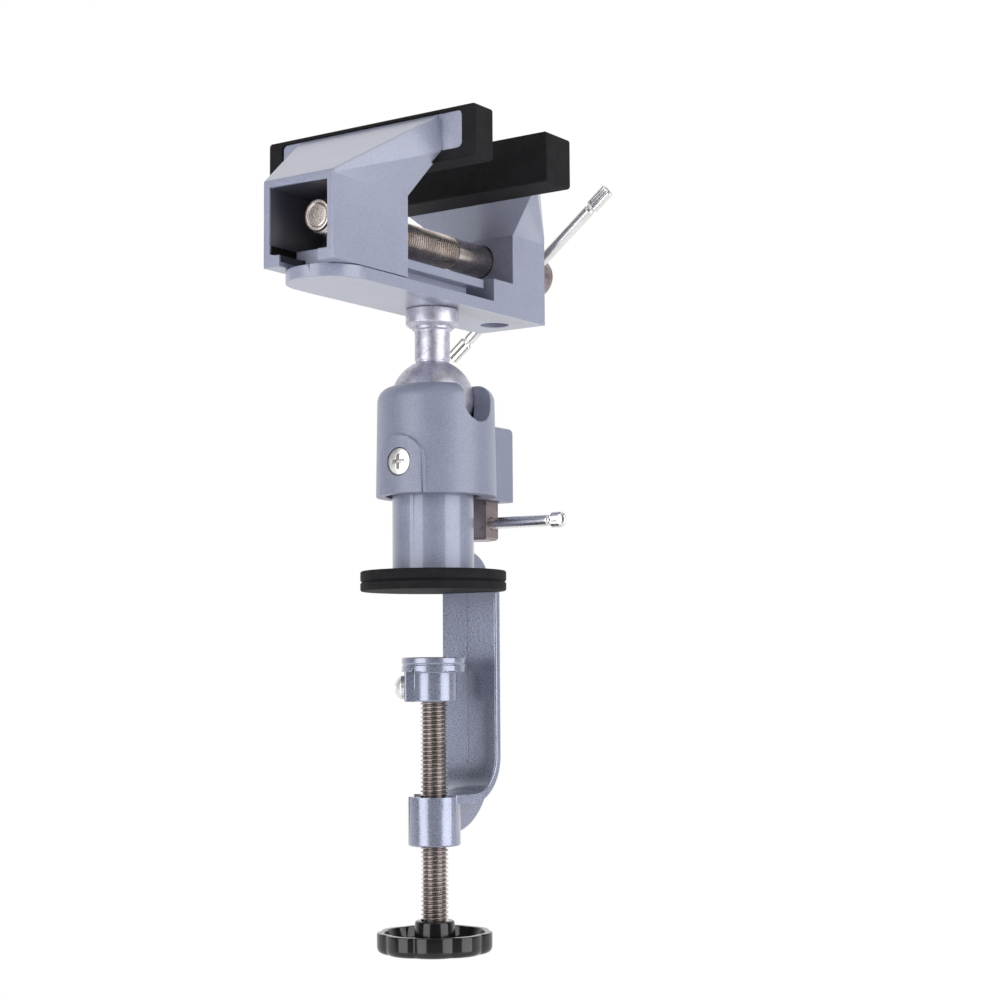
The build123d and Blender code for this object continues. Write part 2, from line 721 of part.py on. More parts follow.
with BuildPart() as fixed_jaw_pad:
    add(
        jaw_pad(fixed_plate_back + jaw_pad_lip, fixed_plate_front - fixed_pad_cover, jaw_base.part).part
    )
save(fixed_jaw_pad, "fixed_jaw_pad")

retaining_top_up = screw_up - screw_radius + groove_depth - running_gap - seat_gap
retaining_foot_up = access_depth + fit_gap
with BuildPart() as retaining_screw:
    with BuildSketch(Plane.XY.offset(bed_height + retaining_foot_up)):
        with Locations((0, groove_place)):
            Circle(retaining_radius)
            RegularPolygon(1.4, 6, mode=Mode.SUBTRACT)
    extrude(amount=2.5)
    with BuildSketch(Plane.XY.offset(bed_height + retaining_foot_up + 2.5)):
        with Locations((0, groove_place)):
            Circle(retaining_radius)
    extrude(amount=screw_up - screw_radius - slide_gap - retaining_foot_up - 2.5)
    with BuildSketch(Plane.XY.offset(bed_height + retaining_foot_up + 2.5)):
        with Locations((0, groove_place)):
            Circle(retaining_tip_radius)
    extrude(amount=retaining_top_up - retaining_foot_up - 2.5)
save(retaining_screw, "retaining_screw")

# ================================================================ movable jaw
with BuildPart() as movable_jaw:
    add(jaw_body(slide_outer, slide_face, slide_plate_back, slide_kink_up, slide_foot_up))
    # the hollow behind the jaw, and the guide slot for web and rail
    with BuildSketch(Plane.XZ.offset(-slide_outer)):
        with Locations((0, rail_top)):
            Rectangle(
                bed_width - 2 * slide_wall, slide_roof_up - rail_top_up, align=(Align.CENTER, Align.MIN)
            )
    extrude(amount=-slide_depth, mode=Mode.SUBTRACT)
    with BuildSketch(Plane.XZ.offset(-slide_outer)):
        with Locations((0, bed_height + rail_bottom_up - slide_gap)):
            Rectangle(
                rail_width + 2 * slide_gap, rail_top_up - rail_bottom_up + 2 * slide_gap,
                align=(Align.CENTER, Align.MIN),
            )
        with Locations((0, bed_height)):
            Rectangle(rail_web_width + 2 * slide_gap, rail_bottom_up, align=(Align.CENTER, Align.MIN))
    extrude(amount=slide_outer - slide_face, mode=Mode.SUBTRACT)
    # seat of the nut and the passage of the lead screw
    with BuildSketch(Plane.XZ.offset(-screw_nut_y)):
        with Locations((0, screw_height)):
            RegularPolygon(corner_radius(screw_nut_flats) + fit_gap, 6)
    extrude(amount=-screw_nut_height, mode=Mode.SUBTRACT)
    with BuildSketch(Plane.XZ.offset(-screw_nut_y)):
        with Locations((0, screw_height)):
            Circle(screw_radius + slide_gap)
    extrude(amount=screw_nut_y - slide_face - 1, mode=Mode.SUBTRACT)
save(movable_jaw, "movable_jaw")

with BuildPart() as movable_jaw_pad:
    add(
        jaw_pad(
            slide_plate_back - jaw_pad_lip, slide_plate_front + slide_pad_cover, movable_jaw.part
        ).part
    )
save(movable_jaw_pad, "movable_jaw_pad")

with BuildPart() as jaw_nut:
    with BuildSketch(Plane.XZ.offset(-screw_nut_y)):
        with Locations((0, screw_height)):
            RegularPolygon(corner_radius(screw_nut_flats), 6)
            Circle(screw_radius + running_gap, mode=Mode.SUBTRACT)
    extrude(amount=-screw_nut_height)
save(jaw_nut, "jaw_nut")

# ================================================================ lead screw
with BuildPart() as lead_screw:
    with BuildSketch(Plane.XZ.offset(-screw_tip)):
        with Locations((0, screw_height)):
            Circle(screw_radius)
    extrude(amount=screw_tip - screw_head_start)
    chamfer(lead_screw.faces().sort_by(Axis.Y)[0].edges(), screw_tip_chamfer)
    with BuildSketch(Plane.XZ.offset(-screw_head_start)):
        with Locations((0, screw_height)):
            Circle(screw_head_radius)
    extrude(amount=-screw_head_length)
    chamfer(lead_screw.faces().sort_by(Axis.Y)[-1].edges(), screw_tip_chamfer)
    # groove of the retaining screw
    with BuildSketch(Plane.XZ.offset(-groove_place + groove_width / 2)):
        with Locations((0, screw_height)):
            Circle(screw_radius + 1)
            Circle(screw_radius - groove_depth, mode=Mode.SUBTRACT)
    extrude(amount=-groove_width, mode=Mode.SUBTRACT)
    # cross hole of the bar
    with BuildSketch(Plane(origin=(0, screw_bar_y, screw_height), z_dir=jaw_bar_direction)):
        Circle(bar_radius + bar_gap)
    extrude(amount=2 * screw_head_radius, both=True, mode=Mode.SUBTRACT)
save(lead_screw, "lead_screw")

with BuildPart() as thrust_washer:
    with BuildSketch(Plane.XZ.offset(-thrust_seat)):
        with Locations((0, screw_height)):
            Circle(thrust_washer_radius)
            Circle(screw_radius + running_gap, mode=Mode.SUBTRACT)
    extrude(amount=face_gap - thrust_washer_thickness)
save(thrust_washer, "thrust_washer")

# ================================================================ clamp foot
with BuildPart() as clamp_foot:
    with BuildSketch(Plane.XY.offset(foot_bottom)):
        Circle(foot_body_radius)
    extrude(amount=foot_height)
    # raised block under the foot screw
    outward = (cos(radians(foot_screw_azimuth)), sin(radians(foot_screw_azimuth)), 0)
    with BuildSketch(Plane(origin=(0, 0, foot_bottom), x_dir=outward, z_dir=(0, 0, 1))):
        with Locations((foot_pad_reach / 2, 0)):
            block = Rectangle(foot_pad_reach, foot_pad_width)
        fillet(block.vertices().sort_by(lambda v: v.X**2 + v.Y**2)[-2:], foot_pad_corner)
    extrude(amount=foot_height)
    # rim
    with BuildSketch(Plane.XY.offset(foot_top)):
        Circle(foot_radius)
    extrude(amount=-foot_rim)
    with BuildSketch(Plane.XZ):
        with Locations((foot_radius, foot_top - foot_rim / 2)):
            Rectangle(2 * foot_groove, 2 * foot_groove, rotation=45)
    revolve(axis=Axis.Z, mode=Mode.SUBTRACT)
    with BuildSketch(Plane.XY.offset(foot_bottom)):
        Circle(clamp_radius + running_gap)
    extrude(amount=foot_height - foot_floor, mode=Mode.SUBTRACT)
    with BuildSketch(Plane(origin=(0, 0, clamp_groove_height), z_dir=outward)):
        Circle(foot_screw_radius + fit_gap)
    extrude(amount=foot_radius, mode=Mode.SUBTRACT)
save(clamp_foot, "clamp_foot")

foot_screw_face = Plane(
    origin=(foot_pad_reach * outward[0], foot_pad_reach * outward[1], clamp_groove_height),
    x_dir=(0, 0, 1), z_dir=outward,
)
with BuildPart() as foot_screw:
    add(
        cross_screw(
            foot_screw_face, foot_screw_head, 1.2, 2.2, foot_screw_radius,
            foot_pad_reach - clamp_groove_radius - seat_gap - running_gap,
        )
    )
save(foot_screw, "foot_screw")

# ================================================================ clamp screw
with BuildPart() as clamp_screw:
    with BuildSketch(Plane.XY.offset(clamp_tip)):
        Circle(clamp_radius)
    extrude(amount=-clamp_length)
    with BuildSketch(Plane.XY.offset(clamp_groove_height + clamp_groove_width / 2)):
        Circle(clamp_radius + 1)
        Circle(clamp_groove_radius, mode=Mode.SUBTRACT)
    extrude(amount=-clamp_groove_width, mode=Mode.SUBTRACT)
    with BuildSketch(Plane.XY.offset(clamp_end)):
        Circle(wheel_screw_radius + fit_gap)
    extrude(amount=wheel_screw_length, mode=Mode.SUBTRACT)
save(clamp_screw, "clamp_screw")

# ================================================================ hand wheel
with BuildPart() as hand_wheel:
    with BuildSketch(Plane.XY.offset(wheel_bottom)):
        Circle(wheel_radius)
    extrude(amount=wheel_height)
    fillet(hand_wheel.edges().filter_by(GeomType.CIRCLE).sort_by(Axis.Z)[0], wheel_edge)
    # each lobe of the rim is an arc of half the wheel's radius
    with BuildSketch(Plane.XY.offset(wheel_bottom)):
        with PolarLocations(wheel_radius / 2, wheel_lobes, start_angle=wheel_lobe_turn):
            Circle(wheel_radius / 2)
    extrude(amount=wheel_height, mode=Mode.INTERSECT)
    # hollow between rim and hub
    with BuildSketch(Plane.XY.offset(wheel_top)):
        Circle(wheel_radius * cos(pi / wheel_lobes) - wheel_rim)
    extrude(amount=wheel_web - wheel_height, mode=Mode.SUBTRACT)
    with BuildSketch(Plane.XY.offset(wheel_bottom)):
        Circle(hub_radius)
    extrude(amount=hub_top - wheel_bottom)
    with BuildSketch(Plane.XY.offset(hub_top)):
        Circle(clamp_radius + fit_gap)
    extrude(amount=clamp_end - hub_top, mode=Mode.SUBTRACT)
    with BuildSketch(Plane.XY.offset(wheel_bottom)):
        Circle(wheel_recess_radius)
    extrude(amount=wheel_recess_depth, mode=Mode.SUBTRACT)
    with BuildSketch(Plane.XY.offset(wheel_bottom)):
        Circle(wheel_screw_radius + slide_gap)
    extrude(amount=wheel_height, mode=Mode.SUBTRACT)
save(hand_wheel, "hand_wheel")

washer_height = wheel_bottom + wheel_recess_depth
with BuildPart() as wheel_washer:
    with BuildSketch(Plane.XY.offset(washer_height)):
        Circle(wheel_washer_radius)
        Circle(wheel_screw_radius + fit_gap, mode=Mode.SUBTRACT)
    extrude(amount=-wheel_washer_thickness)
save(wheel_washer, "wheel_washer")

wheel_screw_face = Plane(
    origin=(0, 0, washer_height - wheel_washer_thickness), x_dir=(1, 0, 0), z_dir=(0, 0, -1)
)
with BuildPart() as wheel_screw:
    add(
        cross_screw(
            wheel_screw_face, wheel_screw_head, 0.9, 0.7, wheel_screw_radius, wheel_screw_length
        )
    )
save(wheel_screw, "wheel_screw")
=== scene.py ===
"""Clamp-on ball-joint table vise: its visual model, finishes, light and camera.

Sizes in the classes are millimetres in the shared frame, and meshes are metres.
"""

import logging
import math
from dataclasses import dataclass, field, replace
from enum import Enum
from typing import Sequence

import bmesh
import bpy
import numpy as np
from mathutils import Matrix
from mathutils.bvhtree import BVHTree


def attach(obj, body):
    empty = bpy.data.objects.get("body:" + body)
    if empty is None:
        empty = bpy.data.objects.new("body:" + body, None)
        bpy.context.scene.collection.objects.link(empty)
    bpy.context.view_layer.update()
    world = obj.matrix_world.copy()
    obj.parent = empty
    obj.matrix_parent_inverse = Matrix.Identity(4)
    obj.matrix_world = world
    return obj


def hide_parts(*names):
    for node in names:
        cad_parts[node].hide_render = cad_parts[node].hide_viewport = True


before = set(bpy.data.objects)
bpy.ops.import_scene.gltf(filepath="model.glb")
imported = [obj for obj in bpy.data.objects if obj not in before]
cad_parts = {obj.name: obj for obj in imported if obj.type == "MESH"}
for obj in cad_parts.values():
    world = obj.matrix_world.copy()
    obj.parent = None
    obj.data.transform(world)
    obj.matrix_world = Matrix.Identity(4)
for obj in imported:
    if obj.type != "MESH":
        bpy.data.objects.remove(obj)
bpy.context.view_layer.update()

Colour = tuple[float, float, float, float]
Place = tuple[float, float, float]
Tree = bpy.types.NodeTree
Socket = bpy.types.NodeSocket

MM = 0.001
WELD = 2e-6  # metres within which two points are one
SMOOTH_BELOW = math.radians(38)  # a new surface is shaded smooth over edges that turn less
ROUND_ABOVE = math.radians(32)  # a casting's edges are rounded where they turn more
CURVE_STEP = math.radians(22)  # the steps of a curve turn less than this
FLAT_WITHIN = math.radians(0.4)  # neighbouring faces that turn less are one flat face
ROOM_SHARE = 0.45  # share of the room beside an edge that its rounding may take up
ROUNDING_TRIES = 6
log = logging.getLogger("table_vise")


class Way(Enum):
    """A line that a turned piece is turned about: its two cross axes, then the line itself."""

    ALONG_Y = ((0, 0, 1), (1, 0, 0), (0, 1, 0))
    ALONG_Z = ((1, 0, 0), (0, 1, 0), (0, 0, 1))


# ---------------------------------------------------------------- colour and nodes


def linear(code: str) -> Colour:
    """Turns an sRGB hex colour into the linear colour that shaders take.

    Args:
        code: six hex digits after a hash sign.

    Returns:
        Red, green, blue and an alpha of 1.
    """
    channels = np.array([int(code[i : i + 2], 16) for i in (1, 3, 5)]) / 255
    curved = np.where(channels <= 0.04045, channels / 12.92, ((channels + 0.055) / 1.055) ** 2.4)
    return (*curved.tolist(), 1.0)


def grey(level: float) -> Colour:
    """A linear grey, for ramps that carry a number and not a colour."""
    return (level, level, level, 1.0)


def add_node(
    tree: Tree,
    kind: str,
    inputs: dict[str | int, object] | None = None,
    stops: Sequence[tuple[float, Colour]] = (),
    **settings: object,
) -> bpy.types.Node:
    """Adds one node with its settings, its values and its links.

    Args:
        tree: the node tree it joins.
        kind: the node's type without the ShaderNode that all of them start with.
        inputs: a value, or an output to link from, for each named or numbered input.
        stops: places and colours of a colour ramp.
        **settings: the node's own properties.

    Returns:
        The new node.
    """
    node = tree.nodes.new("ShaderNode" + kind)
    for name, value in settings.items():
        setattr(node, name, value)
    for key, value in (inputs or {}).items():
        if isinstance(value, Socket):
            tree.links.new(value, node.inputs[key])
        else:
            node.inputs[key].default_value = value
    if stops:
        elements = node.color_ramp.elements
        while len(elements) < len(stops):
            elements.new(1.0)
        for element, (place, colour) in zip(elements, stops):
            element.position = place
            element.color = colour
    return node


def patch_inputs(place: Socket, size_mm: float, detail: float = 2.0) -> dict[str, object]:
    """Inputs of a noise whose patches are about size_mm wide.

    Args:
        place: the coordinates in metres.
        size_mm: width of a patch in millimetres.
        detail: how many finer layers are added.

    Returns:
        The noise's place, scale and detail.
    """
    return {"Vector": place, "Scale": 1 / (size_mm * MM), "Detail": detail}


# ---------------------------------------------------------------- finishes


@dataclass(frozen=True)
class Finish:
    """What every finish states: its name, its slot in the record and its shader's plain numbers.

    Grain, peel and pits are drawn a little coarser than the real skin, so that they show.
    """

    name: str
    slot: str
    colour: str
    shade: str
    roughness: float
    roughness_swing: float = 0.06
    metallic: float = 0.0
    coat: float = 0.0
    coat_roughness: float = 0.03
    specular: float = 0.5
    patch_mm: float = 8.0
    grain_mm: float = 0.5
    grain_height: float = 0.01

    def material(self) -> bpy.types.Material:
        """Makes the material the first time, and finds it again later.

        Returns:
            The material, with the finish's name.
        """
        known = bpy.data.materials.get(self.name)
        if known is not None:
            return known
        made = bpy.data.materials.new(self.name)
        made.use_nodes = True
        tree = made.node_tree
        shader = tree.nodes["Principled BSDF"]
        plain = {
            "Metallic": self.metallic,
            "Coat Weight": self.coat,
            "Coat Roughness": self.coat_roughness,
            "Specular IOR Level": self.specular,
        }
        for name, value in plain.items():
            shader.inputs[name].default_value = value
        place = add_node(tree, "TexCoord").outputs["Object"]
        for name, source in zip(("Base Color", "Roughness", "Normal"), self.layers(tree, place)):
            tree.links.new(source, shader.inputs[name])
        return made

    def patches(self, tree: Tree, place: Socket) -> Socket:
        """The base colour drifting to its darker shade in soft patches.

        Args:
            tree: the material's node tree.
            place: the coordinates in metres.

        Returns:
            The socket of the colour.
        """
        patch = add_node(tree, "TexNoise", patch_inputs(place, self.patch_mm)).outputs["Fac"]
        ends = ((0.38, grey(0.0)), (0.66, grey(1.0)))
        share = add_node(tree, "ValToRGB", {"Fac": patch}, ends).outputs["Color"]
        inputs = {0: share, 6: linear(self.colour), 7: linear(self.shade)}
        return add_node(tree, "Mix", inputs, data_type="RGBA").outputs[2]

    def swing(self, source: Socket) -> dict[str, object]:
        """Inputs of the map that makes a noise a roughness swinging about its mean.

        Args:
            source: the noise, mostly between 0.3 and 0.7.

        Returns:
            The map's inputs by name.
        """
        low, high = self.roughness - self.roughness_swing, self.roughness + self.roughness_swing
        return {"Value": source, "From Min": 0.3, "From Max": 0.7, "To Min": low, "To Max": high}

    def layers(self, tree: Tree, place: Socket) -> tuple[Socket, Socket, Socket]:
        """A plain moulded or rolled surface: its drifting colour over a fine grain.

        Args:
            tree: the material's node tree.
            place: the coordinates in metres.

        Returns:
            The sockets of the colour, the roughness and the normal.
        """
        grain = add_node(tree, "TexNoise", patch_inputs(place, self.grain_mm)).outputs["Fac"]
        bump = add_node(tree, "Bump", {"Height": grain, "Distance": self.grain_height * MM})
        rough = add_node(tree, "MapRange", self.swing(grain))
        return self.patches(tree, place), rough.outputs["Result"], bump.outputs["Normal"]


@dataclass(frozen=True)
class CastPaint(Finish):
    """Stoved enamel sprayed on die-cast aluminium.

    The clear top of the film gives a sharp reflection over a softer metallic-grey body.
    The film pulls together into a fine orange peel, and pits of the casting show as dark dots.
    """

    speck_colour: str = "#B4B8C8"
    speck_share: float = 0.35
    peel_mm: float = 1.5
    peel_height: float = 0.012
    pit_mm: float = 5.0
    pit_size: float = 0.045
    pit_colour: str = "#4E5160"
    satin_above: float | None = None
    satin_band: float = 3.0
    satin_roughness: float = 0.3
    seam_mm: float = 0.0
    seam_place: tuple[float, float] = (-0.4, 20.5)
    seam_sway: float = 1.6
    seam_bend: float = 6.0
    hollow: tuple[Place, Place] | None = None
    hollow_shade_colour: str = "#0F0F12"

    def layers(self, tree: Tree, place: Socket) -> tuple[Socket, Socket, Socket]:
        """Paint with fine specks and pits, its gloss, and its peel over the casting's grain.

        Args:
            tree: the material's node tree.
            place: the coordinates in metres.

        Returns:
            The sockets of the colour, the roughness and the normal.
        """
        specks = add_node(tree, "TexNoise", patch_inputs(place, self.grain_mm, 1.0)).outputs["Fac"]
        ends = ((0.3, linear(self.shade)), (0.7, linear(self.speck_colour)))
        speck_colour = add_node(tree, "ValToRGB", {"Fac": specks}, ends).outputs["Color"]
        inputs = {"Vector": place, "Scale": 1 / (self.pit_mm * MM)}
        distance = add_node(tree, "TexVoronoi", inputs).outputs["Distance"]
        reach = {"From Min": self.pit_size, "From Max": 1.6 * self.pit_size}
        inputs = {"Value": distance, **reach, "To Min": 1.0, "To Max": 0.0}
        pit = add_node(tree, "MapRange", inputs).outputs["Result"]
        over = [(self.speck_share, speck_colour), (pit, linear(self.pit_colour))]
        if self.seam_mm:
            over.append((self.seam(tree, place), linear(self.pit_colour)))
        # painted shade: the inside of the hollow is painted nearly black
        if self.hollow is not None:
            over.append((self.hollow_shade_share(tree, place), linear(self.hollow_shade_colour)))
        colour = self.patches(tree, place)
        for share, top in over:
            inputs = {0: share, 6: colour, 7: top}
            colour = add_node(tree, "Mix", inputs, data_type="RGBA").outputs[2]
        roughness = add_node(tree, "MapRange", self.swing(specks)).outputs["Result"]
        if self.satin_above is not None:
            height = add_node(tree, "SeparateXYZ", {"Vector": place}).outputs[2]
            low = (self.satin_above - self.satin_band) * MM
            high = (self.satin_above + self.satin_band) * MM
            inputs = {"Value": height, "From Min": low, "From Max": high}
            inputs["To Max"] = self.satin_roughness
            above = add_node(tree, "MapRange", inputs).outputs["Result"]
            roughness = add_node(tree, "Math", {0: roughness, 1: above}, operation="ADD").outputs[0]
        inputs = {"Height": specks, "Distance": self.grain_height * MM}
        grain = add_node(tree, "Bump", inputs).outputs["Normal"]
        peel = add_node(tree, "TexNoise", patch_inputs(place, self.peel_mm, 0.0)).outputs["Fac"]
        inputs = {"Height": peel, "Distance": self.peel_height * MM, "Normal": grain}
        return colour, roughness, add_node(tree, "Bump", inputs).outputs["Normal"]

    def seam(self, tree: Tree, place: Socket) -> Socket:
        """The mould's parting line on the spine: a thin upright line that wavers a little.

        The share is 0.8 where |x - middle + sway (noise - 1/2)| is under half the line's
        width and falls to 0 at the full width. It is 0 in front of the spine's flat side.

        Args:
            tree: the material's node tree.
            place: the coordinates in metres.

        Returns:
            The socket of the share.
        """
        across, back, _ = add_node(tree, "SeparateXYZ", {"Vector": place}).outputs
        inputs = patch_inputs(place, self.seam_bend, 4.0)
        waver = add_node(tree, "TexNoise", inputs).outputs["Fac"]
        sway, middle = self.seam_sway * MM, (self.seam_place[0] + self.seam_sway / 2) * MM
        inputs = {0: waver, 1: sway, 2: -middle}
        shift = add_node(tree, "Math", inputs, operation="MULTIPLY_ADD").outputs[0]
        gap = add_node(tree, "Math", {0: across, 1: shift}, operation="ADD").outputs[0]
        gap = add_node(tree, "Math", {0: gap}, operation="ABSOLUTE").outputs[0]
        reach = {"From Min": 0.5 * self.seam_mm * MM, "From Max": self.seam_mm * MM}
        inputs = {"Value": gap, **reach, "To Min": 0.8, "To Max": 0.0}
        line = add_node(tree, "MapRange", inputs).outputs["Result"]
        inputs = {0: back, 1: self.seam_place[1] * MM}
        on_spine = add_node(tree, "Math", inputs, operation="GREATER_THAN").outputs[0]
        return add_node(tree, "Math", {0: line, 1: on_spine}, operation="MULTIPLY").outputs[0]

    def hollow_shade_share(self, tree: Tree, place: Socket) -> Socket:
        """1 inside the hollow's box and 0 outside, from the largest of |p - c| / h.

        Args:
            tree: the material's node tree.
            place: the coordinates in metres.

        Returns:
            The socket of the share.
        """
        # the share of the hollow's painted shade: 1 inside its box
        centre, half = (tuple(value * MM for value in row) for row in self.hollow)
        away = add_node(tree, "VectorMath", {0: place, 1: centre}, operation="SUBTRACT").outputs[0]
        away = add_node(tree, "VectorMath", {0: away}, operation="ABSOLUTE").outputs[0]
        away = add_node(tree, "VectorMath", {0: away, 1: half}, operation="DIVIDE").outputs[0]
        parts = add_node(tree, "SeparateXYZ", {"Vector": away}).outputs
        most = add_node(tree, "Math", {0: parts[0], 1: parts[1]}, operation="MAXIMUM").outputs[0]
        most = add_node(tree, "Math", {0: most, 1: parts[2]}, operation="MAXIMUM").outputs[0]
        inputs = {"Value": most, "From Min": 0.98, "From Max": 1.0, "To Min": 1.0, "To Max": 0.0}
        return add_node(tree, "MapRange", inputs).outputs["Result"]


@dataclass(frozen=True)
class BareMetal(Finish):
    """Plated or oiled steel: a clean mirror broken by fine grain.

    Dirt lies in specks. On a thread its roots are painted dark, for grease that lies there and as
    painted shade.
    """

    metallic: float = 1.0
    dirt_and_shade: str = "#4A423C"
    dirt_mm: float = 2.2
    dirt_share: float = 0.0
    dirt_roughness: float = 0.25
    shade_and_grease_in_valleys: bool = False

    def layers(self, tree: Tree, place: Socket) -> tuple[Socket, Socket, Socket]:
        """Metal with dirt in specks, or grease and painted shade in thread roots, its polish and
        its grain.

        Args:
            tree: the material's node tree.
            place: the coordinates in metres.

        Returns:
            The sockets of the colour, the roughness and the normal.
        """
        # painted shade and grease: the deeper a point of the thread, the darker it is painted
        if self.shade_and_grease_in_valleys:
            source = add_node(tree, "Attribute", attribute_name="depth").outputs["Fac"]
            ends = ((0.45, grey(0.0)), (1.0, grey(0.8)))
        else:
            inputs = patch_inputs(place, self.dirt_mm, 4.0)
            source = add_node(tree, "TexNoise", inputs).outputs["Fac"]
            low = 0.5 + 0.5 * (1 - self.dirt_share) * 0.4
            ends = ((low, grey(0.0)), (low + 0.08, grey(self.dirt_share)))
        dirt_and_shade_share = add_node(tree, "ValToRGB", {"Fac": source}, ends).outputs["Color"]
        inputs = {0: dirt_and_shade_share, 6: self.patches(tree, place), 7: linear(self.dirt_and_shade)}
        colour = add_node(tree, "Mix", inputs, data_type="RGBA").outputs[2]
        grain = add_node(tree, "TexNoise", patch_inputs(place, self.grain_mm)).outputs["Fac"]
        polish = add_node(tree, "MapRange", self.swing(grain)).outputs["Result"]
        inputs = {0: dirt_and_shade_share, 1: self.dirt_roughness, 2: polish}
        rough = add_node(tree, "Math", inputs, operation="MULTIPLY_ADD").outputs[0]
        bump = add_node(tree, "Bump", {"Height": grain, "Distance": self.grain_height * MM})
        return colour, rough, bump.outputs["Normal"]


# stoved enamel, satin: an even blue-grey with a broad, soft sheen on the die-cast jaws
PAINT = CastPaint(
    name="satin_enamel_on_die_cast_aluminium",
    slot="casting_paint",
    colour="#898DA5",
    shade="#83879F",
    metallic=0.1,
    roughness=0.5,
    coat=0.9,
    coat_roughness=0.25,
    patch_mm=14.0,
    grain_mm=0.34,
    grain_height=0.008,
    pit_mm=9.0,
    pit_size=0.012,
)
# the same enamel, more matt, and painted darker as shade: the shell of the ball shows almost no
# reflection
SHADED_SHELL_PAINT = replace(
    PAINT,
    name="matt_enamel_painted_darker_as_shade",
    # painted shade: a darker copy of the jaws' colour
    colour="#747990",
    shade="#6E738A",
    coat=0.5,
    coat_roughness=0.35,
)
# the sliding jaw's hollow is painted nearly black inside: painted shade where little light reaches
SLIDE_PAINT = replace(
    PAINT,
    name="satin_enamel_with_painted_shade_in_hollow",
    hollow=((0.0, -58.3, 118.0), (12.4, 14.0, 12.6)),
)
# a thicker, glossier film on the coarser skin of the mould: the spine, arm and foot glitter,
# and the column above the table is satin
FRAME_PAINT = CastPaint(
    name="glossy_enamel_on_rough_die_casting",
    slot="casting_paint",
    colour="#8A8FA6",
    shade="#7F849B",
    metallic=0.6,
    roughness=0.30,
    coat=1.0,
    coat_roughness=0.07,
    patch_mm=10.0,
    grain_mm=0.5,
    grain_height=0.004,
    peel_mm=1.1,
    peel_height=0.03,
    satin_above=0.0,
    pit_mm=5.0,
    pit_size=0.03,
    seam_mm=0.14,
)
# nickel on a rolled thread: bright warm crests over roots painted dark, for grease and as painted
# shade
THREAD_NICKEL = BareMetal(
    name="nickel_plated_rolled_thread",
    slot="nickel_thread",
    colour="#DDD5D2",
    shade="#C4BBB8",
    roughness=0.2,
    grain_mm=0.35,
    grain_height=0.006,
    dirt_and_shade="#4A4440",
    shade_and_grease_in_valleys=True,
)
# oiled steel thread: worn bright crests over roots painted black, for oil and as painted shade
THREAD_OILED = BareMetal(
    name="oiled_black_steel_thread",
    slot="oiled_steel",
    colour="#D6CCC8",
    shade="#B9AFAA",
    roughness=0.24,
    grain_mm=0.3,
    grain_height=0.003,
    dirt_and_shade="#221F1E",
    shade_and_grease_in_valleys=True,
)
# dark steel under a film of oil: a dull brownish shine with black specks
OILED_STEEL = BareMetal(
    name="oiled_dark_steel",
    slot="oiled_steel",
    colour="#A5979A",
    shade="#8C8082",
    roughness=0.36,
    grain_mm=0.5,
    grain_height=0.008,
    dirt_and_shade="#2A2523",
    dirt_share=0.5,
)
# zinc plate on turned steel: a pale satin shine, spotted grey where it is stained
BRIGHT_ZINC = BareMetal(
    name="turned_zinc_plated_steel",
    slot="bright_zinc",
    colour="#D3D2DE",
    shade="#BCBBC8",
    roughness=0.46,
    roughness_swing=0.06,
    patch_mm=2.5,
    grain_mm=0.6,
    grain_height=0.008,
    dirt_and_shade="#5A5860",
    dirt_mm=0.8,
    dirt_share=0.5,
)
# zinc plate on small screws: whitish and satin, with hardly any dirt
SCREW_ZINC = BareMetal(
    name="zinc_plated_screw",
    slot="screw_zinc",
    colour="#F0EFEE",
    shade="#DEDDDC",
    roughness=0.4,
    grain_mm=0.6,
    grain_height=0.006,
    dirt_and_shade="#6A6866",
    dirt_mm=1.2,
    dirt_share=0.2,
)
# chrome on drawn bar: nearly white, with soft dark lines where it mirrors the room
BAR_CHROME = BareMetal(
    name="polished_chromed_bar",
    slot="bar_chrome",
    colour="#EDECEC",
    shade="#E0DDDB",
    roughness=0.26,
    roughness_swing=0.03,
    grain_mm=1.4,
    grain_height=0.004,
    dirt_and_shade="#8A807A",
    dirt_mm=2.0,
    dirt_share=0.15,
)
# moulded rubber: a deep, dull black with a fine grain
PAD_RUBBER = Finish(
    name="moulded_black_rubber",
    slot="pad_rubber",
    colour="#141316",
    shade="#1B1A1D",
    roughness=0.75,
    roughness_swing=0.1,
    specular=0.2,
    patch_mm=5.0,
    grain_mm=0.4,
    grain_height=0.03,
)
# phenolic plastic from a polished mould: black with sharp reflections
WHEEL_PLASTIC = Finish(
    name="glossy_black_phenolic_plastic",
    slot="wheel_plastic",
    colour="#121213",
    shade="#161617",
    roughness=0.13,
    roughness_swing=0.03,
    patch_mm=9.0,
    grain_mm=3.0,
    grain_height=0.02,
)
# moulded nylon: dark and waxy, seen only past the ball
CUP_NYLON = Finish(
    name="moulded_black_nylon",
    slot="cup_plastic",
    colour="#26272B",
    shade="#1D1E22",
    roughness=0.45,
    grain_mm=0.6,
    grain_height=0.02,
)


# ---------------------------------------------------------------- surfaces


@dataclass
class Surface:
    """A surface worked out with numpy: points in mm, faces of four, and a depth per point."""

    points: np.ndarray
    faces: np.ndarray
    depth: np.ndarray

    def __add__(self, other: "Surface") -> "Surface":
        """Both surfaces in one, the other's faces numbered on from this one's points.

        Args:
            other: the surface that is added.

        Returns:
            A new surface.
        """
        return Surface(
            np.concatenate([self.points, other.points]),
            np.concatenate([self.faces, other.faces + len(self.points)]),
            np.concatenate([self.depth, other.depth]),
        )


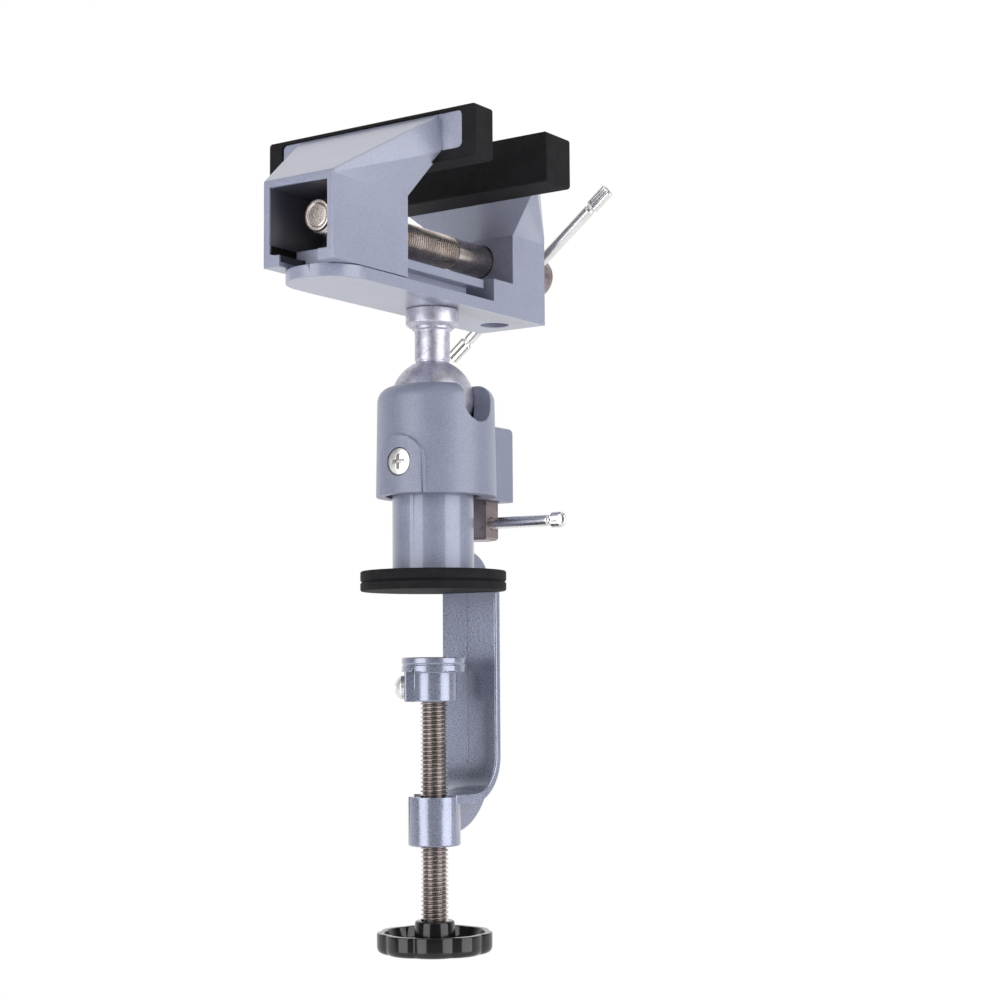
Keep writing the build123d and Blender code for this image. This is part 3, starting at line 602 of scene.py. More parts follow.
def grid_faces(
    rows: int, columns: int, round_rows: bool = False, round_columns: bool = True
) -> np.ndarray:
    """Faces of four between neighbouring rows and columns of a grid of points.

    Args:
        rows: number of rows of points.
        columns: number of points in a row.
        round_rows: joins the last row to the first.
        round_columns: joins the last column to the first.

    Returns:
        An array with four point numbers a face.
    """
    row = np.arange(rows if round_rows else rows - 1)[:, None]
    column = np.arange(columns if round_columns else columns - 1)[None, :]
    next_row, next_column = (row + 1) % rows, (column + 1) % columns
    corners = (
        row * columns + column,
        row * columns + next_column,
        next_row * columns + next_column,
        next_row * columns + column,
    )
    return np.stack(np.broadcast_arrays(*corners), axis=-1).reshape(-1, 4)


def rounded(corners: Sequence[Sequence[float]], steps: int = 6) -> np.ndarray:
    """A profile whose corners are rounded.

    Each corner C is replaced by the curve (1-t)(1-t) P + 2t(1-t) C + tt Q, where P and Q lie
    on its two sides, as far from it as its rounding.

    Args:
        corners: each corner's coordinates, then its rounding.
        steps: points on each rounded corner.

    Returns:
        The profile's points, one a row. A corner with no rounding gives equal points.
    """
    table = np.array(corners, float)
    corner, rounding = table[:, :-1], table[:, -1:]
    before, after = np.roll(corner, 1, axis=0) - corner, np.roll(corner, -1, axis=0) - corner
    before /= np.maximum(np.linalg.norm(before, axis=1, keepdims=True), 1e-9)
    after /= np.maximum(np.linalg.norm(after, axis=1, keepdims=True), 1e-9)
    t = np.linspace(0, 1, steps)[None, :, None]
    start, end = (corner + before * rounding)[:, None], (corner + after * rounding)[:, None]
    curve = (1 - t) ** 2 * start + 2 * t * (1 - t) * corner[:, None] + t**2 * end
    return curve.reshape(-1, corner.shape[1])


def placed(
    radius: np.ndarray, angle: np.ndarray, along: np.ndarray, way: Way, centre: Sequence[float]
) -> np.ndarray:
    """Points at a radius and an angle round a line, and at a place along it.

    Each point is centre + r cos(a) first + r sin(a) second + s line.

    Args:
        radius: r, in any shape that goes with the other two.
        angle: a, in radians.
        along: s.
        way: the line with its two cross axes.
        centre: a point on the line.

    Returns:
        The points, one a row.
    """
    first, second, line = (np.array(axis, float) for axis in way.value)
    radius, angle, along = np.broadcast_arrays(radius, angle, along)
    turn = np.cos(angle)[..., None] * first + np.sin(angle)[..., None] * second
    across = radius[..., None] * turn
    return (np.array(centre, float) + across + along[..., None] * line).reshape(-1, 3)


def turned(
    profile: np.ndarray, way: Way, centre: Sequence[float] = (0, 0, 0), segments: int = 64
) -> Surface:
    """A surface of revolution: each profile point (radius, place) carried round the line.

    Args:
        profile: one row of radius and place a point.
        way: the line it is turned about.
        centre: a point on that line.
        segments: steps round a full turn.

    Returns:
        The surface, open where the profile starts and ends off the line.
    """
    angle = np.linspace(0, 2 * np.pi, segments, endpoint=False)[None, :]
    points = placed(profile[:, 0][:, None], angle, profile[:, 1][:, None], way, centre)
    return Surface(points, grid_faces(len(profile), segments), np.zeros(len(points)))


def threaded(
    crest: float,
    root: float,
    pitch: float,
    span: tuple[float, float],
    end_radii: tuple[float, float],
    way: Way,
    centre: Sequence[float] = (0, 0, 0),
    segments: int = 48,
    rows_a_turn: int = 10,
    end_slope: float = 1.2,
) -> Surface:
    """A screw thread whose rows of points run along the helix.

    Along a row the phase f of the thread is fixed. Its height above the root is the
    trapezium clip((|2f - 1| - 1/4) / (5/8), 0, 1), which is a sixty-degree thread with a
    narrow crest. Near both ends the radius is held within a cone that closes on end_radii,
    so that chamfers and run-outs come out of the same formula.

    Args:
        crest: outer radius.
        root: radius at the bottom of the thread.
        pitch: distance between two turns.
        span: start and end along the line.
        end_radii: radius at the start and at the end.
        way: the line it is turned about.
        centre: a point on that line.
        segments: steps round a full turn.
        rows_a_turn: rows of points in one pitch.
        end_slope: how fast the cone at an end opens, as radius over length.

    Returns:
        The surface, open at both ends, with depth 0 at the crest and 1 at the root.
    """
    start, end = span
    row = np.arange(-rows_a_turn, int((end - start) / pitch * rows_a_turn) + 2)
    turn = np.linspace(0, 1, segments + 1)
    along = np.clip(start + (row[:, None] / rows_a_turn + turn[None, :]) * pitch, start, end)
    phase = (row / rows_a_turn) % 1.0
    height = np.clip((np.abs(2 * phase - 1) - 0.25) / 0.625, 0, 1)[:, None]
    radius = np.broadcast_to(root + (crest - root) * height, along.shape)
    for edge, edge_radius in ((along - start, end_radii[0]), (end - along, end_radii[1])):
        radius = np.clip(radius, edge_radius - edge * end_slope, edge_radius + edge * end_slope)
    points = placed(radius, 2 * np.pi * turn[None, :], along, way, centre)
    depth = np.clip((crest - radius) / (crest - root), 0, 1).reshape(-1)
    return Surface(points, grid_faces(len(row), segments + 1, round_columns=False), depth)


def add_piece(
    name: str, surface: Surface, finish: Finish, body: str, nodes: Sequence[str]
) -> bpy.types.Object:
    """Puts a closed surface into a mesh object that rides on a body.

    Args:
        name: the piece's name.
        surface: the surface in millimetres.
        finish: its finish.
        body: the CAD body that it moves with.
        nodes: the CAD nodes that it stands for.

    Returns:
        The new object.
    """
    mesh = bpy.data.meshes.new(name)
    mesh.from_pydata((surface.points * MM).tolist(), [], surface.faces.tolist())
    depth = mesh.attributes.new("depth", "FLOAT", "POINT").data
    depth.foreach_set("value", surface.depth.astype(np.float32))
    shell = bmesh.new()
    shell.from_mesh(mesh)
    bmesh.ops.remove_doubles(shell, verts=shell.verts, dist=WELD)
    bmesh.ops.recalc_face_normals(shell, faces=shell.faces)
    shell.to_mesh(mesh)
    shell.free()
    mesh.shade_smooth()
    mesh.set_sharp_from_angle(angle=SMOOTH_BELOW)
    return place_piece(name, mesh, finish, body, nodes)


def place_piece(
    name: str, mesh: bpy.types.Mesh, finish: Finish, body: str, nodes: Sequence[str]
) -> bpy.types.Object:
    """Makes the object of a finished mesh, dresses it and lets it ride on its body.

    Args:
        name: the piece's name.
        mesh: its mesh, in its place in the shared frame.
        finish: its finish.
        body: the CAD body that it moves with.
        nodes: the CAD nodes that it stands for.

    Returns:
        The new object.
    """
    piece = bpy.data.objects.new(name, mesh)
    bpy.context.scene.collection.objects.link(piece)
    mesh.materials.clear()
    mesh.materials.append(finish.material())
    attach(piece, body)
    if nodes:
        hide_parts(*nodes)
    log.info("%s: %d faces on %s", name, len(mesh.polygons), body)
    return piece


def rounded_casting(
    node: str,
    finish: Finish,
    body: str,
    rounding: float,
    round_form: bool = False,
    keep_above_y: float | None = None,
) -> bpy.types.Object:
    """A CAD node's own shape with its sharp edges rounded, as a mould or a die leaves them.

    Args:
        node: the CAD node it is taken from and stands for.
        finish: its finish.
        body: the CAD body that it moves with.
        rounding: width of the rounding in millimetres.
        round_form: weighs normals by area, for a form made mostly of round faces.
        keep_above_y: cuts away what lies below this Y, where only one end is wanted.

    Returns:
        The new object.
    """
    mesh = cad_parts[node].data.copy()
    mesh.name = node + "_form"
    shell = bmesh.new()
    shell.from_mesh(mesh)
    bmesh.ops.remove_doubles(shell, verts=shell.verts, dist=WELD)
    if keep_above_y is not None:
        cut = bmesh.ops.bisect_plane(
            shell,
            geom=[*shell.verts, *shell.edges, *shell.faces],
            plane_co=(0, keep_above_y * MM, 0),
            plane_no=(0, 1, 0),
            clear_inner=True,
        )
        rim = [item for item in cut["geom_cut"] if isinstance(item, bmesh.types.BMEdge)]
        bmesh.ops.edgeloop_fill(shell, edges=rim)
    bmesh.ops.dissolve_limit(shell, angle_limit=FLAT_WITHIN, verts=shell.verts, edges=shell.edges)
    weigh_edges(shell, rounding * MM)
    shell.to_mesh(mesh)
    shell.free()
    mesh.shade_smooth()
    mesh.set_sharp_from_angle(angle=ROUND_ABOVE)
    piece = place_piece(node + "_form", mesh, finish, body, [node])
    bevel = piece.modifiers.new("rounded_edges", "BEVEL")
    bevel.width = rounding * MM
    bevel.segments = 3
    bevel.limit_method = "WEIGHT"
    bevel.use_clamp_overlap = False
    bevel.miter_outer = "MITER_ARC"
    bevel.harden_normals = not round_form
    keep_sound_edges(piece, rounding * MM)
    if round_form:
        piece.modifiers.new("flat_faces_stay_flat", "WEIGHTED_NORMAL").keep_sharp = True
    return piece


def keep_sound_edges(piece: bpy.types.Object, rounding: float) -> None:
    """Leaves sharp the edges whose rounding would fold over or stand off the casting.

    A face of the rounded shape is unsound if a corner of it lies farther than ROOM_SHARE of
    the rounding from the casting's own surface, or if it looks the other way. The edges
    within one rounding of its corners lose their weight, and the shape is looked at again.

    Args:
        piece: the object with its bevel.
        rounding: width of the rounding in metres.
    """
    mesh = piece.data
    own = BVHTree.FromPolygons(
        [point.co for point in mesh.vertices], [face.vertices[:] for face in mesh.polygons]
    )
    ends = np.empty(len(mesh.vertices) * 3)
    mesh.vertices.foreach_get("co", ends)
    pairs = np.empty(len(mesh.edges) * 2, int)
    mesh.edges.foreach_get("vertices", pairs)
    start, end = ends.reshape(-1, 3)[pairs.reshape(-1, 2)].transpose(1, 0, 2)
    weights = np.empty(len(mesh.edges))
    layer = mesh.attributes["bevel_weight_edge"].data
    layer.foreach_get("value", weights)
    for attempt in range(ROUNDING_TRIES):
        shape = piece.evaluated_get(bpy.context.evaluated_depsgraph_get()).to_mesh()
        gaps = [own.find_nearest(point.co)[3] for point in shape.vertices]
        unsound = {
            corner
            for face in shape.polygons
            if max(gaps[corner] for corner in face.vertices) > ROOM_SHARE * rounding
            or own.find_nearest(face.center)[1].dot(face.normal) < -0.5
            for corner in face.vertices
        }
        places = np.array([tuple(shape.vertices[corner].co) for corner in sorted(unsound)])
        piece.to_mesh_clear()
        if not unsound:
            break
        line = end - start
        length = np.maximum((line * line).sum(axis=1), 1e-18)
        along = np.clip(((places[:, None] - start) * line).sum(axis=2) / length, 0, 1)
        gap = np.linalg.norm(start + along[..., None] * line - places[:, None], axis=2).min(axis=0)
        weights[gap < rounding] = 0.0
        layer.foreach_set("value", weights.astype(np.float32))
        mesh.update()
        log.info("%s: %d unsound corners in try %d", piece.name, len(unsound), attempt)


def weigh_edges(shell: bmesh.types.BMesh, rounding: float) -> None:
    """Gives each sharp edge the share of the rounding that the faces beside it have room for.

    The room beside an edge is L sin(a), where L is the length of the next edge round the
    face and a is the turn to it. An edge that only goes on round a curve isn't counted.
    The share is ROOM_SHARE of the least room, divided by the rounding, and 1 at most.

    Args:
        shell: the casting's own mesh.
        rounding: width of the rounding in metres.
    """
    weight = shell.edges.layers.float.new("bevel_weight_edge")
    for edge in shell.edges:
        if len(edge.link_faces) != 2 or edge.calc_face_angle(0.0) < ROUND_ABOVE:
            continue
        room = rounding / ROOM_SHARE
        for loop in edge.link_loops:
            line = loop.link_loop_next.vert.co - loop.vert.co
            for beside in (loop.link_loop_next, loop.link_loop_prev):
                side = beside.link_loop_next.vert.co - beside.vert.co
                sine = line.cross(side).length / max(line.length, 1e-12)
                if sine > math.sin(CURVE_STEP) * side.length:
                    room = min(room, sine)
        edge[weight] = min(1.0, ROOM_SHARE * room / rounding)


def dress_nodes(finishes: dict[str, Finish]) -> None:
    """Gives CAD nodes that stay as they are their finishes.

    Args:
        finishes: the finish of each node, by the node's name.
    """
    for node, finish in finishes.items():
        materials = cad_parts[node].data.materials
        if not materials:
            materials.append(finish.material())
        for slot in range(len(materials)):
            materials[slot] = finish.material()


# ---------------------------------------------------------------- handle bars


@dataclass
class HandleBar:
    """A round sliding bar whose ends are swaged into ears with a groove pressed along them."""

    name: str
    node: str
    centre: Place
    direction: Place
    length: float
    ear_length: float
    radius: float = 2.1
    ear_half_width: float = 2.85
    ear_half_thickness: float = 1.75
    groove: float = 0.25
    groove_spread: float = 0.4
    end_round: float = 1.6
    blend: float = 0.8
    neck: float = 0.35
    neck_place: float = 1.0
    neck_spread: float = 0.55
    segments: int = 48

    def surface(self) -> Surface:
        """The bar's surface: rows run round it, from one end to the other.

        With u the distance from the nearer end, the two half sizes blend from the ear's to
        the bar's by a smooth step, dip by `neck` just behind the ear, and close over the
        last `end_round` by a quarter ellipse. The groove lowers the wide faces by a bell
        curve about their middle.

        Returns:
            The bar, closed at both ends.
        """
        near = np.concatenate(
            [
                self.end_round * (1 - np.cos(np.linspace(0, np.pi / 2, 9))),
                np.linspace(self.end_round + 0.3, self.ear_length - 0.6, 8),
                np.linspace(self.ear_length - 0.4, self.ear_length + 2.4, 15),
            ]
        )
        along = np.concatenate([near - self.length / 2, (self.length / 2 - near)[::-1]])
        u = self.length / 2 - np.abs(along)
        ear = 1 - np.clip((u - self.ear_length) / self.blend, 0, 1)
        ear = ear * ear * (3 - 2 * ear)
        behind = (u - self.ear_length - self.neck_place) / self.neck_spread
        dip = self.neck * np.exp(-(behind**2))
        cap = np.sqrt(np.clip(1 - (1 - np.clip(u / self.end_round, 0, 1)) ** 2, 0, 1))
        width = (self.radius + (self.ear_half_width - self.radius) * ear - dip) * cap
        thick = (self.radius + (self.ear_half_thickness - self.radius) * ear - dip) * cap
        angle = np.linspace(0, 2 * np.pi, self.segments, endpoint=False)[None, :]
        bell = np.exp(-((np.cos(angle) / self.groove_spread) ** 2))
        pinch = 1 - self.groove * ear[:, None] * bell
        line = np.array(self.direction) / np.linalg.norm(self.direction)
        wide = np.cross((0, 1, 0), line)
        flat = np.cross(line, wide)
        points = (
            np.array(self.centre)
            + (width[:, None] * np.cos(angle))[..., None] * wide
            + (thick[:, None] * np.sin(angle) * pinch)[..., None] * flat
            + along[:, None, None] * line
        ).reshape(-1, 3)
        return Surface(points, grid_faces(len(along), self.segments), np.zeros(len(points)))

    def build(self) -> None:
        """Adds the bar, which rides on the body of its own name."""
        add_piece(self.name, self.surface(), BAR_CHROME, self.node, [self.node])


# ---------------------------------------------------------------- table clamp


@dataclass
class TableClamp:
    """The clamp casting with its rubber pad, swivelling foot, screw and hand wheel."""

    screw_crest: float = 4.85
    screw_root: float = 3.93
    screw_pitch: float = 1.5
    screw_end: float = -119.5
    screw_end_radius: float = 3.8
    thread_end: float = -35.6
    run_out_radius: float = 4.1
    screw_tip: float = -27.8
    groove_radius: float = 3.25
    groove_top: float = -31.2
    wheel_radius: float = 20.0
    wheel_top: float = -117.0
    wheel_bottom: float = -124.0
    wheel_web: float = -121.4
    hub_top: float = -113.2
    hub_radius: float = 6.8
    rim_inside_top: float = 17.5
    rim_inside_low: float = 16.3
    bore_gap: float = 0.02
    screw_hole: float = 2.3
    screw_recess: float = 5.8
    lobes: int = 9
    lobe_turn: float = -15.5

    def screw(self) -> Surface:
        """The clamp screw: a thread below, then the groove and the plain tip inside the foot.

        Returns:
            The screw, closed at both ends.
        """
        tip = rounded(
            [
                (self.run_out_radius, self.thread_end, 0),
                (self.groove_radius, self.thread_end, 0.1),
                (self.groove_radius, self.groove_top, 0.1),
                (self.screw_crest, self.groove_top, 0.3),
                (self.screw_crest, self.screw_tip, 0.7),
                (0, self.screw_tip, 0),
            ]
        )
        end = np.array([(0, self.screw_end), (self.screw_end_radius, self.screw_end)])
        thread = threaded(
            self.screw_crest,
            self.screw_root,
            self.screw_pitch,
            (self.screw_end, self.thread_end),
            (self.screw_end_radius, self.run_out_radius),
            Way.ALONG_Z,
        )
        lower, upper = (turned(part, Way.ALONG_Z, segments=48) for part in (end, tip))
        return lower + thread + upper

    def wheel(self) -> Surface:
        """The hand wheel: a closed profile carried round the axis, its rim swollen into lobes.

        At the angle b from the middle of the nearest lobe the rim's radius is multiplied by
        1 - w (1 - cos b), which makes each lobe an arc of half the rim's radius. The third
        number of a corner is w: 1 on the outside, and 0 where the wheel is round.

        Returns:
            The wheel as a closed ring.
        """
        outer, top, low = self.wheel_radius, self.wheel_top, self.wheel_bottom
        bore = self.screw_crest + self.bore_gap
        profile = rounded(
            [
                (outer, low, 1, 2.6),
                (outer, top, 1, 0.5),
                (self.rim_inside_top, top, 0.6, 0.4),
                (self.rim_inside_low, self.wheel_web, 0, 1.6),
                (self.hub_radius + 0.5, self.wheel_web, 0, 1.6),
                (self.hub_radius, self.hub_top, 0, 0.9),
                (bore, self.hub_top, 0, 0.2),
                (bore, self.screw_end, 0, 0),
                (self.screw_hole, self.screw_end, 0, 0),
                (self.screw_hole, self.wheel_web, 0, 0),
                (self.screw_recess, self.wheel_web, 0, 0.2),
                (self.screw_recess, low, 0, 0.4),
            ]
        )
        angle = np.linspace(0, 2 * np.pi, 360, endpoint=False)[None, :]
        share = 2 * np.pi / self.lobes
        off_lobe = (angle - math.radians(self.lobe_turn) + share / 2) % share - share / 2
        radius = profile[:, [0]] * (1 - profile[:, [2]] * (1 - np.cos(off_lobe)))
        points = placed(radius, angle, profile[:, [1]], Way.ALONG_Z, (0, 0, 0))
        faces = grid_faces(len(profile), angle.size, round_rows=True)
        return Surface(points, faces, np.zeros(len(points)))

    def build(self) -> None:
        """Adds every piece of the clamp."""
        rounded_casting("clamp_frame", FRAME_PAINT, "clamp_frame", 0.5, round_form=True)
        rounded_casting("clamp_foot", FRAME_PAINT, "foot", 0.5, round_form=True)
        rounded_casting("foot_screw", SCREW_ZINC, "foot", 0.12)
        add_piece("clamp_screw_form", self.screw(), THREAD_NICKEL, "clamp_screw", ["clamp_screw"])
        add_piece("hand_wheel_form", self.wheel(), WHEEL_PLASTIC, "clamp_screw", ["hand_wheel"])
        dress_nodes({"table_pad": PAD_RUBBER})
        dress_nodes(dict.fromkeys(("wheel_washer", "wheel_screw"), SCREW_ZINC))


# ---------------------------------------------------------------- ball joint


@dataclass
class BallJoint:
    """The ball on its stem, the shell that holds it and the bolt that locks it."""

    ball_radius: float = 14.6
    ball_height: float = 67.0
    neck_radius: float = 6.2
    undercut: float = 0.35
    neck_step: float = 0.9
    collar_radius: float = 9.4
    collar_chamfer: float = 1.3
    collar_bottom: float = 93.1
    collar_top: float = 99.45
    spigot_radius: float = 5.0
    spigot_top: float = 106.5
    lock_bar: HandleBar = field(
        default_factory=lambda: HandleBar(
            name="lock_handle_form",
            node="lock_handle",
            centre=(0, 27.0, 25.0),
            direction=(1, 0, 0),
            length=76.0,
            ear_length=5.5,
            end_round=2.4,
            groove=0.2,
        )
    )

    def stem(self) -> Surface:
        """The stem: the ball's arc, an undercut, the neck with its step, and the collar.

        Returns:
            The stem, closed on its axis at both ends.
        """
        neck_angle = math.acos(self.neck_radius / self.ball_radius)
        arc = np.linspace(-np.pi / 2, neck_angle, 40)
        ball = self.ball_radius * np.stack([np.cos(arc), np.sin(arc)], axis=-1)
        ball[:, 1] += self.ball_height
        neck_foot = self.ball_height + self.ball_radius * math.sin(neck_angle)
        rest = rounded(
            [
                (self.neck_radius - self.undercut, neck_foot + 0.15, 0.1),
                (self.neck_radius - self.undercut, neck_foot + 0.6, 0.1),
                (self.neck_radius, neck_foot + 1.1, 0.3),
                (self.neck_radius, self.collar_bottom - 1.3, 0.5),
                (self.neck_radius + self.neck_step, self.collar_bottom - 0.9, 0.2),
                (self.neck_radius + self.neck_step, self.collar_bottom, 0.15),
                (self.collar_radius - self.collar_chamfer, self.collar_bottom, 0.2),
                (self.collar_radius, self.collar_bottom + 1.1, 0.4),
                (self.collar_radius, self.collar_top, 0.5),
                (self.spigot_radius, self.collar_top, 0.1),
                (self.spigot_radius, self.spigot_top, 0.4),
                (0, self.spigot_top, 0),
            ]
        )
        return turned(np.concatenate([ball, rest]), Way.ALONG_Z, segments=96)

    def build(self) -> None:
        """Adds every piece of the ball joint."""
        rounded_casting("ball_housing", SHADED_SHELL_PAINT, "clamp_frame", 0.35, round_form=True)
        rounded_casting("housing_screw", SCREW_ZINC, "clamp_frame", 0.12)
        rounded_casting("lock_bolt", OILED_STEEL, "lock_bolt", 0.2)
        add_piece("ball_stem_form", self.stem(), BRIGHT_ZINC, "ball_stem", ["ball_stem"])
        self.lock_bar.build()
        dress_nodes({"ball_seat_cup": CUP_NYLON, "lock_nut": OILED_STEEL})
        dress_nodes(dict.fromkeys(("lock_washer", "stem_washer", "stem_screw"), SCREW_ZINC))


# ---------------------------------------------------------------- vise head


@dataclass
class ViseHead:
    """The bed with its fixed jaw, the sliding jaw, their rubber pads and the lead screw."""

    screw_height: float = 121.7
    screw_crest: float = 6.0
    screw_root: float = 5.23
    screw_pitch: float = 1.25
    screw_tip: float = -63.5
    tip_radius: float = 5.3
    tip_length: float = 1.2
    thread_end: float = 9.1
    shank_radius: float = 5.9
    groove_start: float = 36.6
    groove_end: float = 40.8
    groove_radius: float = 4.4
    head_start: float = 51.05
    head_overlap: float = 0.4
    pad_half_length: float = 44.7
    pad_bottom: float = 140.7
    pad_top: float = 158.4
    knurl_pitch: float = 0.7
    knurl_height: float = 0.14
    skin_side_gap: float = 1.2
    skin_edge_gap: float = 1.3
    skin_fade: float = 0.7
    skin_lift: float = 0.01
    skin_sink: float = 0.25
    skin_back: float = 0.3
    fixed_pad_face: float = 6.5
    movable_pad_face: float = -25.8
    jaw_bar: HandleBar = field(
        default_factory=lambda: HandleBar(
            name="jaw_handle_form",
            node="jaw_handle",
            centre=(0, 61.35, 121.7),
            direction=(0.7880107536, 0, 0.6156614753),
            length=92.0,
            ear_length=9.0,
            end_round=0.8,
        )
    )

    def screw(self) -> Surface:
        """The lead screw up to its head: faced tip, thread, shank and retaining groove.

        Returns:
            The screw, closed at both ends.
        """
        centre = (0, 0, self.screw_height)
        tip = rounded(
            [
                (0, self.screw_tip + 0.12, 0),
                (3.5, self.screw_tip + 0.12, 0.1),
                (3.8, self.screw_tip + 0.3, 0.1),
                (4.1, self.screw_tip, 0.1),
                (self.tip_radius, self.screw_tip, 0.35),
                (self.tip_radius, self.screw_tip + self.tip_length, 0),
            ]
        )
        thread = threaded(
            self.screw_crest,
            self.screw_root,
            self.screw_pitch,
            (self.screw_tip + self.tip_length, self.thread_end),
            (self.tip_radius, self.shank_radius),
            Way.ALONG_Y,
            centre,
        )
        shank = rounded(
            [
                (self.shank_radius, self.thread_end, 0),
                (self.shank_radius, self.groove_start, 0.2),
                (self.groove_radius, self.groove_start, 0.1),
                (self.groove_radius, self.groove_end, 0.1),
                (self.shank_radius, self.groove_end, 0.2),
                (self.shank_radius, self.head_start + 0.3, 0),
                (0, self.head_start + 0.3, 0),
            ]
        )
        front, back = (turned(part, Way.ALONG_Y, centre, 48) for part in (tip, shank))
        return front + thread + back

    def knurl(self, face: float, outward: int) -> Surface:
        """The knurled skin of a pad: rows of small four-sided points on its gripping face.

        The height at (x, z) is h (m(x) + m(z)) / 2, where m is a triangle wave of the
        knurl's pitch. It fades to nothing at the skin's border, which lies inside the pad.

        Args:
            face: Y of the pad's gripping face.
            outward: 1 where the face looks along +Y, and -1 where it looks along -Y.

        Returns:
            The skin as a closed slab.
        """
        half = self.pad_half_length - self.skin_side_gap
        low, high = self.pad_bottom + self.skin_edge_gap, self.pad_top - self.skin_edge_gap
        x = np.linspace(-half, half, int(2 * half / self.knurl_pitch) * 4 + 1)
        z = np.linspace(low, high, int((high - low) / self.knurl_pitch) * 4 + 1)
        across, upright = (np.abs(2 * ((place / self.knurl_pitch) % 1.0) - 1) for place in (x, z))
        edge = np.minimum(half - np.abs(x)[None, :], np.minimum(z - low, high - z)[:, None])
        fade = np.clip(edge / self.skin_fade, 0, 1)
        height = self.knurl_height * (across[None, :] + upright[:, None]) / 2 * fade
        height = np.where(edge > 1e-6, height + self.skin_lift, -self.skin_sink)
        front = np.stack(np.broadcast_arrays(x[None, :], face + outward * height, z[:, None]), -1)
        border = np.concatenate([front[0, :-1], front[:-1, -1], front[-1, :0:-1], front[:0:-1, 0]])
        sunk = border.copy()
        sunk[:, 1] = face - outward * self.skin_back
        middle = np.broadcast_to(sunk.mean(axis=0), sunk.shape)
        rim = np.concatenate([border, sunk, middle])
        skin_faces = grid_faces(*front.shape[:2], round_columns=False)
        skin = Surface(front.reshape(-1, 3), skin_faces, np.zeros(x.size * z.size))
        return skin + Surface(rim, grid_faces(3, len(border)), np.zeros(len(rim)))

    def build(self) -> None:
        """Adds every piece of the vise head."""
        rounded_casting("jaw_base", PAINT, "vise_bed", 0.35)
        rounded_casting("movable_jaw", SLIDE_PAINT, "sliding_jaw", 0.35)
        rounded_casting("fixed_jaw_pad", PAD_RUBBER, "vise_bed", 0.35)
        rounded_casting("movable_jaw_pad", PAD_RUBBER, "sliding_jaw", 0.35)
        add_piece("lead_screw_form", self.screw(), THREAD_OILED, "lead_screw", ["lead_screw"])
        head_cut = self.head_start - self.head_overlap
        head = rounded_casting("lead_screw", OILED_STEEL, "lead_screw", 0.25, keep_above_y=head_cut)
        head.name = "lead_screw_head"
        self.jaw_bar.build()
        skins = {
            "fixed_pad_knurl": (self.fixed_pad_face, -1, "vise_bed", "fixed_jaw_pad"),
            "movable_pad_knurl": (self.movable_pad_face, 1, "sliding_jaw", "movable_jaw_pad"),
        }
        for name, (face, outward, body, node) in skins.items():
            add_piece(name, self.knurl(face, outward), PAD_RUBBER, body, [node])
        dress_nodes(dict.fromkeys(("jaw_nut", "thrust_washer", "retaining_screw"), OILED_STEEL))


# ---------------------------------------------------------------- studio


def stand(name: str, data: bpy.types.ID, axes: Sequence[np.ndarray]) -> bpy.types.Object:
    """Puts a lamp or a camera into the scene.

    Args:
        name: the object's name.
        data: the lamp or the camera.
        axes: its right, its up and its back, each of length 1, then its place in metres.

    Returns:
        The new object.
    """
    holder = bpy.data.objects.new(name, data)
    bpy.context.scene.collection.objects.link(holder)
    holder.matrix_world = Matrix([*np.stack(axes, axis=1).tolist(), (0, 0, 0, 1)])
    return holder


@dataclass(frozen=True)
class SoftBox:
    """A soft box that faces the object.

    The azimuth is in degrees to the right of the camera, seen from above, the elevation in
    degrees above the horizon, the width, height and distance in metres, the power in watts.
    """

    name: str
    azimuth: float
    elevation: float
    size: tuple[float, float]
    power: float
    distance: float = 0.9

    def build(self, camera_azimuth: float) -> None:
        """Adds the lamp, which the camera doesn't see.

        Args:
            camera_azimuth: degrees by which the camera stands to the right of the frame's front.
        """
        lamp = bpy.data.lights.new(self.name, "AREA")
        lamp.shape = "RECTANGLE"
        lamp.size, lamp.size_y = self.size
        lamp.energy = self.power
        turn, rise = math.radians(self.azimuth + camera_azimuth), math.radians(self.elevation)
        side = np.array([math.cos(turn), math.sin(turn), 0.0])
        level = np.array([math.sin(turn), -math.cos(turn), 0.0])
        back = level * math.cos(rise) + np.array([0.0, 0.0, math.sin(rise)])
        holder = stand(self.name, lamp, (side, np.cross(back, side), back, back * self.distance))
        holder.visible_camera = False


